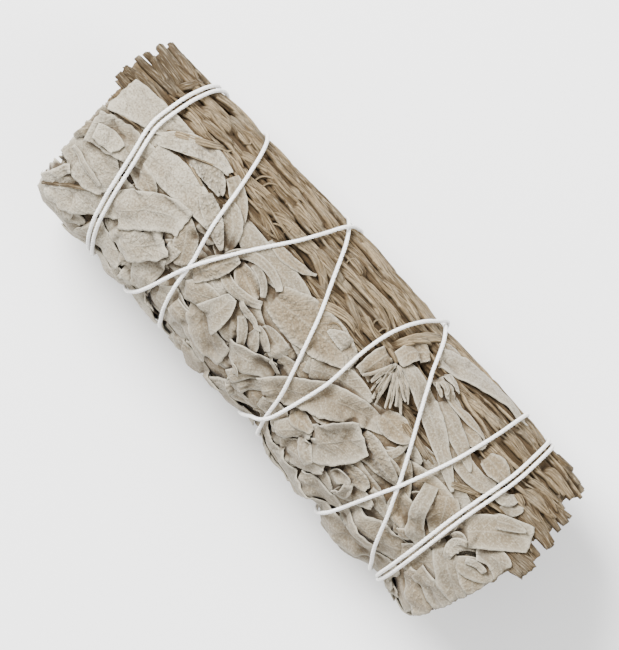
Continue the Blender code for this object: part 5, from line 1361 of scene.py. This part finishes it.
def mottle_group():
    """Cloudy changes of shade and fine grain, from object coordinates."""
    inputs = ("Cloud Scale", 180.0), ("Grain Scale", 2600.0)
    group, inside, outside = new_group("mottle", inputs, ("Cloud", "Grain"))
    place = group.nodes.new("ShaderNodeTexCoord")
    for label in ("Cloud", "Grain"):
        node = noise(group, place.outputs["Object"], 3.0, 0.6)
        group.links.new(inside.outputs[label + " Scale"], node.inputs["Scale"])
        group.links.new(node.outputs["Fac"], outside.inputs[label])
    return group


def vein_group():
    """A leaf's midrib and side veins, and the pebbles between the veins."""
    inputs = ("Spacing", 1.9), ("Slant", 1.1)
    group, inside, outside = new_group("veins", inputs, ("Veins", "Pebbles"))
    nodes, links = group.nodes, group.links
    place = own_map(group)
    parts = nodes.new("ShaderNodeSeparateXYZ")
    links.new(place, parts.inputs["Vector"])
    side = maths(group, "ABSOLUTE", parts.outputs["Y"])
    slant = maths(group, "MULTIPLY", side, inside.outputs["Slant"])
    slanted = maths(group, "SUBTRACT", parts.outputs["X"], slant)
    wave = maths(group, "PINGPONG", slanted, maths(group, "MULTIPLY", inside.outputs["Spacing"], 0.5))
    thin = maths(group, "SUBTRACT", 1.0, maths(group, "DIVIDE", wave, 0.22), clamp=True)
    rib = maths(group, "SUBTRACT", 1.0, maths(group, "DIVIDE", side, 0.28), clamp=True)
    veins = maths(group, "MAXIMUM", maths(group, "MULTIPLY", thin, 0.6), rib)
    links.new(veins, outside.inputs["Veins"])
    cells = nodes.new("ShaderNodeTexVoronoi")
    cells.feature = "SMOOTH_F1"
    cells.inputs["Scale"].default_value = 1.7
    cells.inputs["Smoothness"].default_value = 0.4
    links.new(place, cells.inputs["Vector"])
    links.new(cells.outputs["Distance"], outside.inputs["Pebbles"])
    return group


def fibre_group():
    """Streaks and ridges along a stem or stalk."""
    inputs = ("Along", 0.35), ("Across", 5.0)
    group, inside, outside = new_group("fibres", inputs, ("Streaks", "Ridges"))
    nodes, links = group.nodes, group.links
    scale = nodes.new("ShaderNodeCombineXYZ")
    links.new(inside.outputs["Along"], scale.inputs["X"])
    links.new(inside.outputs["Across"], scale.inputs["Y"])
    stretched = nodes.new("ShaderNodeVectorMath")
    stretched.operation = "MULTIPLY"
    links.new(own_map(group), stretched.inputs[0])
    links.new(scale.outputs["Vector"], stretched.inputs[1])
    for label, size, detail in (("Streaks", 1.0, 4.0), ("Ridges", 2.6, 2.0)):
        node = noise(group, stretched.outputs["Vector"], detail, 0.65)
        node.inputs["Scale"].default_value = size
        links.new(node.outputs["Fac"], outside.inputs[label])
    return group


class Builder:
    """Short ways to put nodes in a material."""

    def __init__(self, name, roughness):
        self.material = bpy.data.materials.new(name)
        self.material.use_nodes = True
        self.tree = self.material.node_tree
        self.nodes, self.links = self.tree.nodes, self.tree.links
        self.shader = self.nodes["Principled BSDF"]
        self.shader.inputs["Roughness"].default_value = roughness
        self.shader.inputs["Specular IOR Level"].default_value = 0.25

    def mark(self, name):
        node = self.nodes.new("ShaderNodeAttribute")
        node.attribute_name = name
        return node.outputs["Fac"]

    def group(self, group, **values):
        node = self.nodes.new("ShaderNodeGroup")
        node.node_tree = group
        for label, value in values.items():
            node.inputs[label.replace("_", " ")].default_value = value
        return node.outputs

    def product(self, first, second):
        return maths(self.tree, "MULTIPLY", first, second)

    def between(self, value, low, high, to_low=0.0, to_high=1.0):
        """The value, taken from one range to another."""
        node = self.nodes.new("ShaderNodeMapRange")
        for label, limit in (("From Min", low), ("From Max", high), ("To Min", to_low), ("To Max", to_high)):
            node.inputs[label].default_value = limit
        self.links.new(value, node.inputs["Value"])
        return node.outputs["Result"]

    def mixed(self, share, first, second):
        node = self.nodes.new("ShaderNodeMix")
        node.data_type = "RGBA"
        self.links.new(share, node.inputs["Factor"])
        for socket, value in ((node.inputs["A"], first), (node.inputs["B"], second)):
            if isinstance(value, tuple):
                socket.default_value = (*value, 1.0)
            else:
                self.links.new(value, socket)
        return node.outputs["Result"]

    def layered(self, colour, layers):
        """A colour with others over it: each is a mask, the mask's two ranges and the colour."""
        for mask, ranges, other in layers:
            colour = self.mixed(self.between(mask, *ranges), colour, other)
        return colour

    def bump(self, height, distance):
        node = self.nodes.new("ShaderNodeBump")
        node.inputs["Distance"].default_value = distance * MM
        self.links.new(height, node.inputs["Height"])
        self.links.new(node.outputs["Normal"], self.shader.inputs["Normal"])

    def finish(self, colour):
        self.links.new(colour, self.shader.inputs["Base Color"])
        return self.material


def leaf_material(mottle, veins):
    make = Builder("felted_sage_leaf", 0.88)
    cloud = make.group(mottle, Cloud_Scale=230.0, Grain_Scale=3000.0)
    pattern = make.group(veins)
    tone = make.mark("tone")
    pale = make.mixed(make.between(tone, 0.0, 0.5), LEAF_WHITE, LEAF_GREY)
    colour = make.layered(pale, (
        (tone, (0.5, 1.0), LEAF_TAN),
        (cloud["Cloud"], (0.42, 0.7, 0.0, 0.55), LEAF_TAN),
        (cloud["Grain"], (0.34, 0.55, 0.8, 0.0), LEAF_SPECK_AND_GROOVE_SHADE),
        (cloud["Grain"], (0.52, 0.72, 0.0, 0.5), PALE_FELT_AND_RIM_HIGHLIGHT),
    ))
    # Painted shade in the low grooves between the pebbles
    pebble_groove_shade = make.product(make.between(pattern["Pebbles"], 0.35, 0.75, 0.0, 0.6), make.mark("pebble"))
    colour = make.mixed(pebble_groove_shade, colour, LEAF_SPECK_AND_GROOVE_SHADE)
    colour = make.mixed(make.product(pattern["Veins"], 0.25), colour, PALE_FELT_AND_RIM_HIGHLIGHT)
    # Painted highlight along the rim, partly the pale felt of the edge
    colour = make.mixed(make.product(make.mark("edge"), 0.7), colour, PALE_FELT_AND_RIM_HIGHLIGHT)
    # Painted shade under what touches a leaf, in hollows and on its inner side
    colour = make.layered(colour, ((make.mark("deep"), (0.25, 1.6, 0.0, 0.92), PAINTED_DEEP_SHADE),))
    pebbles = make.product(pattern["Pebbles"], make.mark("pebble"))
    height = maths(make.tree, "SUBTRACT", make.product(cloud["Grain"], 0.5), make.product(pebbles, 1.3))
    make.bump(maths(make.tree, "ADD", height, make.product(pattern["Veins"], 0.3)), 0.34)
    make.shader.inputs["Sheen Weight"].default_value = 0.1
    make.shader.inputs["Sheen Roughness"].default_value = 0.6
    return make.finish(colour)


def stem_material(name, mottle, fibres, along, across):
    make = Builder(name, 0.8)
    cloud = make.group(mottle, Cloud_Scale=160.0, Grain_Scale=2400.0)
    streaks = make.group(fibres, Along=along, Across=across)
    tone = make.mark("tone")
    bark = make.mixed(make.between(tone, 0.0, 1.0), STEM_LIGHT, STEM_MIDDLE)
    colour = make.layered(bark, (
        (tone, (0.8, 1.4, 0.0, 0.8), STEM_DARK),
        (streaks["Streaks"], (0.45, 0.6, 0.0, 0.85), STEM_DARK),
        # Pale fibres on the raised ridges, partly a painted highlight
        (streaks["Ridges"], (0.52, 0.66, 0.0, 0.6), STEM_FIBRE_AND_HIGHLIGHT),
        (cloud["Cloud"], (0.5, 0.75, 0.0, 0.5), LEAF_GREY),
        (cloud["Grain"], (0.3, 0.5, 0.35, 0.0), STEM_DARK),
        # Painted shade in a stalk's grooves
        (make.mark("groove"), (0.3, 0.9, 0.0, 0.9), STEM_DARK),
        # Painted shade inside the bunch, where stalk ends dive under, and under what touches a stalk
        (make.mark("deep"), (0.05, 0.9, 0.0, 0.95), PAINTED_DEEP_SHADE),
    ))
    # Painted highlight along marked edges
    colour = make.mixed(make.product(make.mark("edge"), 0.25), colour, PALE_FELT_AND_RIM_HIGHLIGHT)
    colour = make.mixed(make.product(make.mark("cut"), 0.85), colour, CUT_END)
    ridges, grain = make.product(streaks["Ridges"], 0.9), make.product(cloud["Grain"], 0.4)
    make.bump(maths(make.tree, "ADD", ridges, grain), 0.5)
    return make.finish(colour)


def cotton_material(mottle):
    make = Builder("twisted_cotton", 0.9)
    cloud = make.group(mottle, Cloud_Scale=900.0, Grain_Scale=5200.0)
    colour = make.layered(COTTON, (
        # Painted shade between the plies; the grain below is the cotton's own
        (make.mark("deep"), (0.55, 1.0, 0.0, 0.6), COTTON_SHADE),
        (cloud["Grain"], (0.35, 0.65, 0.15, 0.0), COTTON_SHADE),
    ))
    make.bump(cloud["Grain"], 0.12)
    make.shader.inputs["Sheen Weight"].default_value = 0.2
    return make.finish(colour)


# The whole bunch


def settle(tubes):
    """Lays everything on a floor that gives way where it piles up, and pulls the string tight round it."""
    route = route_over_bunch()
    pull = string_pull(route)
    outline = outline_radius(GRID_X[:, None], GRID_ANGLE[None, :])
    among_leaves = leaf_side(GRID_ANGLE)[None, :]
    target = outline - INSET - PINCH * pull
    inset = LEAVES_DEEP * among_leaves + STALKS_DEEP * (1 - among_leaves)
    given = np.zeros_like(outline)
    for _ in range(3):
        floor = np.maximum(outline - inset - given, LEAST_FLOOR)
        floor = np.where(tubes > floor, tubes, floor)
        relief, leaves, stalks = lay_everything(floor)
        given = np.clip(given + GIVE_RATE * blurred(relief.top - target, GIVE_WIDTH), *GIVES)
    scale = np.clip((target - FIRM) / (blurred(relief.top, PRESS_WIDTH) - FIRM), *PRESSED)
    scale = blurred(scale, PRESS_EDGE)
    ceiling = floor_radius(GRID_ANGLE, LOWEST)[None, :]
    settled = FIRM + (relief.top - FIRM) * scale
    radius = string_radius(route, np.minimum(settled, ceiling), target)
    scale = scale * np.clip((held_down(route, radius) - FIRM) / (settled - FIRM), HELD_LEAST, 1.0)

    def remap(x, angle, radius):
        """Where a laid point ends up."""
        changed = FIRM + (radius - FIRM) * field_at(scale, x, angle)
        return np.minimum(np.where(radius > FIRM, changed, radius), floor_radius(angle, LOWEST))

    x, angle = np.meshgrid(GRID_X, GRID_ANGLE, indexing="ij")
    top, under = (np.minimum(remap(x, angle, field), ceiling) for field in (relief.top, floor))
    return (*route, radius), remap, top, leaves, stalks, under


def home_sprig(angle):
    start, end = LEAF_SECTOR
    share = (math.degrees(angle) % 360 - start) / (end - start)
    return int(np.clip(share, 0, 0.999) * SPRIGS) + 1


def home_stem(angle):
    """The outer stem under an angle."""
    _, count, _, first, spacing = STEM_LAYERS[0]
    arc = math.degrees(spacing / (NOMINAL_RADIUS - OUTER_ROW_DEPTH))
    degrees = (math.degrees(angle) + 180) % 360 - 180
    return int(np.clip(round((first - degrees) / arc), 0, count - 1)) + 1


def add_sheet(gather, sheet, remap, shade):
    """Puts a laid sheet in a piece, with how deep each point lies under what is beside it, which sets its
    painted shade.
    """
    low, high = remap(sheet.x, sheet.angle, sheet.low), remap(sheet.x, sheet.angle, sheet.high)
    high = np.maximum(high, low + LEAST_THICKNESS)
    low = np.where(high >= floor_radius(sheet.angle, LOWEST) - 1e-6, high - RESTING_THICKNESS, low)
    # Painted shade: deep grows where a point lies under what is beside it or in a wider hollow
    deep = 0.0
    for field, (start, most, dark) in zip(shade, (CONTACT, HOLLOW)):
        deep = deep + dark * np.clip(field_at(field, sheet.x, sheet.angle) - high - start, 0, most)
    deep = deep + sheet.marks.get("deep", 0.0)
    uv = np.stack([sheet.along, sheet.across], -1)
    # The inner side gets more painted shade
    marks = {}
    for name, value in (sheet.marks | {"deep": deep}).items():
        value = np.broadcast_to(value, sheet.x.shape).ravel()
        marks[name] = np.concatenate([value, value + (INNER_SHADE if name == "deep" else 0.0)])
    gather.add_both_sides(sheet.x, sheet.angle, low, high, uv, **marks)


def packed_sheet(gather, x, angle, low, high, **marks):
    uv = np.stack(np.broadcast_arrays(x, NOMINAL_RADIUS * angle), -1)
    gather.add_both_sides(x, angle, low, high, uv, **marks)


def add_packing(gather, number, floor_top):
    """A sprig's packed middle, and the layers of cut leaf that show at the two ends."""
    start, end = LEAF_SECTOR
    width = math.radians((end - start) / SPRIGS)
    first = math.radians(start) + number * width
    draw = random.Random(SEED + 50 + number)
    turns = np.linspace(0, 1, 16)[None, :]
    x = np.linspace(LEFT_END + 1.5, RIGHT_END - 1.5, 60)[:, None] + 0 * turns
    angle = first + width * turns + 0 * x
    packed_top = field_at(floor_top, x, angle) - 0.5
    # The packed middle gets painted shade
    packed_sheet(gather, x, angle, np.full_like(x, 5.0), packed_top, tone=0.6, deep=0.5)
    depth = np.array([0.0, 0.5, 1.5, 4.0])[:, None]
    for end_x, inwards in BOTH_ENDS:
        for _ in range(END_LAYERS):
            share = draw.random() ** 0.7
            span = draw.uniform(0.35, 1.1) * width
            begin = first + draw.uniform(-0.1, 1.0) * width - span / 2
            angle = begin + span * turns + 0 * depth
            ragged = 0.35 * waves(NOMINAL_RADIUS * angle, draw, (1.1, 2.3, 5.0)) * (depth < 1)
            crown = -LEFT_END_CROWN if inwards > 0 else RIGHT_END_CROWN
            crown = crown * np.clip(np.sin(angle), 0, 1) ** 1.5
            x = end_x + crown + inwards * (depth + draw.uniform(-0.4, 1.0)) + ragged
            outer = np.minimum(*(field_at(floor_top, x + reach * inwards, angle) for reach in (0, 3))) - 0.3
            middle = 5.4 + (outer - 5.6) * share
            middle = middle + draw.uniform(-1.0, 1.0) * (turns - 0.5)
            middle = middle + 0.35 * waves(9 * angle, draw, (1.7, 3.3, 5.9))
            middle = middle + draw.uniform(-0.5, 0.5) * np.clip(1 - depth, 0, 1)
            # Each layer gets its tone and some painted shade
            marks = {"tone": draw.uniform(0.35, 0.9), "deep": draw.uniform(0.1, 0.5), "pebble": 0.3}
            packed_sheet(gather, x, angle, middle - PACKED_HALF, middle + PACKED_HALF, **marks)


def add_core(gather):
    """Crumpled leaf between the inner stems and the outer ones, seen at the two ends."""
    draw = random.Random(SEED + 70)
    turns = np.linspace(0, 1, 18)[None, :]
    depth = np.array([0.0, 0.6, 2.0, 5.0])[:, None]
    for end_x, inwards in BOTH_ENDS:
        for _ in range(CORE_LAYERS):
            angle = draw.uniform(-1.1, 0.6) + draw.uniform(0.5, 1.4) * turns + 0 * depth
            middle = draw.uniform(4.7, 7.3) + draw.uniform(-0.8, 0.8) * (turns - 0.5)
            middle = np.clip(middle + 0.4 * waves(9 * angle, draw, (1.7, 3.3)) + 0 * depth, 4.6, 7.4)
            ragged = 0.3 * waves(7 * angle, draw, (1.1, 2.3)) * (depth < 1)
            x = end_x + inwards * (depth + draw.uniform(0.0, 1.8)) + ragged
            # Each layer gets its tone and some painted shade
            tone, deep = draw.uniform(0.5, 0.9), draw.uniform(0.3, 0.7)
            packed_sheet(gather, x, angle, middle - PACKED_HALF, middle + PACKED_HALF, tone=tone, deep=deep)


def dress_leaves(leaves, remap, shade, floor_top, material):
    gathers = {number: Gather() for number in range(1, SPRIGS + 1)}
    add_core(gathers[SPRIGS])
    for number, gather in gathers.items():
        add_packing(gather, number - 1, floor_top)
    for sheet in leaves:
        add_sheet(gathers[home_sprig(float(sheet.angle.mean()))], sheet, remap, shade)
    for number, gather in gathers.items():
        gather.piece(f"sprig_leaves_{number}", f"leafy_sprig_{number}", "sage_leaf", material)


def dress_stems(stalks, remap, shade, stem_finish, stalk_finish):
    draw = random.Random(SEED + 1)
    pieces = {}

    def stem(name, path, width, sides=HIDDEN_SIDES):
        gather = pieces[name] = Gather()
        ridged_stem(gather, path, width, sides, draw.uniform(0.2, 0.9), draw)

    def hidden_stem(name, number, angle, radius, width):
        """A straight stem of which only the two ends show."""
        x = end_stations(*stem_span(number))
        stem(name, cartesian(x, np.full(len(x), angle), np.full(len(x), radius)), width)

    for layer, count, depth, first, spacing in STEM_LAYERS:
        outer = layer == "outer"
        arc = spacing / (NOMINAL_RADIUS - (OUTER_ROW_DEPTH if outer else depth))
        for i in range(count):
            step = 0.7 if outer else 2.2
            path, width = stem_path(i + len(layer), depth, first - math.degrees(arc) * i, arc, step, draw)
            stem(f"{layer}_stem_{i + 1}", path, width, 30 if outer else HIDDEN_SIDES)
    count, diameter, reach = INNER_STEMS
    for i, (angle, radius) in enumerate([(0.0, 0.0)] + [(TURN * k / count, reach) for k in range(count)]):
        hidden_stem(f"inner_stem_{i + 1}", i + 5, angle, radius, diameter)
    start, end = LEAF_SECTOR
    diameter, reach = SPRIG_STEM
    for i in range(SPRIGS):
        angle = math.radians(start + (i + 0.5) * (end - start) / SPRIGS)
        hidden_stem(f"sprig_stem_{i + 1}", i + 9, angle, reach, diameter)
    for name, gather in pieces.items():
        gather.piece(name + "_bark", name, "sage_stem", stem_finish)
    groups = {}
    for sheet in stalks:
        add_sheet(groups.setdefault(home_stem(float(sheet.angle.mean())), Gather()), sheet, remap, shade)
    for number, gather in groups.items():
        gather.piece(f"outer_stem_{number}_stalks", f"outer_stem_{number}", "sage_stem", stalk_finish)


def dress_string(points, material):
    gather = Gather()
    twisted_string(gather, points, STRING)
    middle = (points[0] + points[-1]) / 2
    outward = middle - np.array([middle[0], MIDDLE[1], MIDDLE[2]])
    outward /= np.linalg.norm(outward)
    along = np.array([1.0, 0.0, 0.0])
    down = np.cross(along, outward)
    turn = np.linspace(0, TURN, 90)[:, None]
    to_side, to_end = np.sin(turn) + 2 * np.sin(2 * turn), np.cos(turn) - 2 * np.cos(2 * turn)
    knot = middle + outward * KNOT_LIFT + KNOT_SIZE * to_side * along + KNOT_SIZE * to_end * down
    knot = knot + KNOT_SIZE * -np.sin(3 * turn) * outward
    twisted_string(gather, knot, STRING * 0.85)
    for slant, length in TAILS:
        reach = np.linspace(0.0, length, 24)[:, None]
        bend = 0.5 * np.sin(reach * 0.8) * along
        tail = middle + outward * (0.5 + 0.25 * np.sqrt(reach)) + reach * (down + slant * along) + bend
        twisted_string(gather, tail, STRING, 0.3)
    gather.piece("twisted_string", "cotton_string", "cotton", material)


# Camera and light


def place_camera():
    """Straight above, turned as the photograph is."""
    right = Vector((BUNCH_DIRECTION[0], BUNCH_DIRECTION[1], 0.0))
    up = Vector((-BUNCH_DIRECTION[1], BUNCH_DIRECTION[0], 0.0))
    across = (PHOTO_SIZE[0] / 2 - BUNCH_PIXEL[0]) * MM_PER_PIXEL
    upwards = (BUNCH_PIXEL[1] - PHOTO_SIZE[1] / 2) * MM_PER_PIXEL
    aim = Vector(MIDDLE) + right * across + up * upwards
    data = bpy.data.cameras.new("camera")
    data.sensor_fit = "HORIZONTAL"
    data.lens = data.sensor_width * CAMERA_DISTANCE / (PHOTO_SIZE[0] * MM_PER_PIXEL)
    data.clip_start, data.clip_end = 0.05, 10.0
    camera = bpy.data.objects.new("camera", data)
    place = (aim + Vector((0, 0, CAMERA_DISTANCE))) * MM
    turned = Matrix((right, up, Vector((0, 0, 1)))).transposed().to_4x4()
    camera.matrix_world = Matrix.Translation(place) @ turned
    bpy.context.scene.collection.objects.link(camera)
    bpy.context.scene.camera = camera
    return right, up


def add_light(name, direction, distance, size, watts):
    data = bpy.data.lights.new(name, "AREA")
    data.shape = "DISK"
    data.size, data.energy = size, watts
    light = bpy.data.objects.new(name, data)
    light.location = direction.normalized() * distance
    light.rotation_euler = direction.to_track_quat("Z", "Y").to_euler()
    bpy.context.scene.collection.objects.link(light)


def light_studio(right, up):
    """A pale floor, a pale room, one large soft light and a weaker one across from it."""
    bpy.ops.object.select_all(action="DESELECT")
    bpy.ops.mesh.primitive_plane_add(size=6.0, location=(0, 0, 0))
    floor = bpy.context.object
    floor.name = "pale_floor"
    material = bpy.data.materials.new("pale_floor")
    material.use_nodes = True
    shader = material.node_tree.nodes["Principled BSDF"]
    shader.inputs["Base Color"].default_value = (0.93, 0.93, 0.93, 1.0)
    shader.inputs["Roughness"].default_value = 0.9
    floor.data.materials.append(material)
    world = bpy.data.worlds.new("room")
    world.use_nodes = True
    background = world.node_tree.nodes["Background"]
    background.inputs["Color"].default_value = (1.0, 1.0, 1.0, 1.0)
    background.inputs["Strength"].default_value = 1.2
    bpy.context.scene.world = world
    key = up * 0.75 - right * 0.45 + Vector((0, 0, 1.0))
    fill = right * 0.9 - up * 0.3 + Vector((0, 0, 0.9))
    add_light("key", key, distance=0.9, size=0.5, watts=28.0)
    add_light("fill", fill, distance=1.1, size=0.7, watts=8.0)


def main():
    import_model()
    right, up = place_camera()
    mottle, veins, fibres = mottle_group(), vein_group(), fibre_group()
    leaf_finish = leaf_material(mottle, veins)
    bark = stem_material("ridged_sage_stem", mottle, fibres, 1.2, 16.0)
    stalk = stem_material("flat_sage_stalk", mottle, fibres, 0.12, 2.2)
    cotton = cotton_material(mottle)
    string_path, remap, top, leaves, stalks, floor_top = settle(stem_tubes())
    shade = blurred(top, SHADE_WIDTHS[0]), blurred(raised(top, 2), SHADE_WIDTHS[1])
    dress_leaves(leaves, remap, shade, floor_top, leaf_finish)
    dress_stems(stalks, remap, shade, bark, stalk)
    dress_string(cartesian(*string_path), cotton)
    light_studio(right, up)


main()
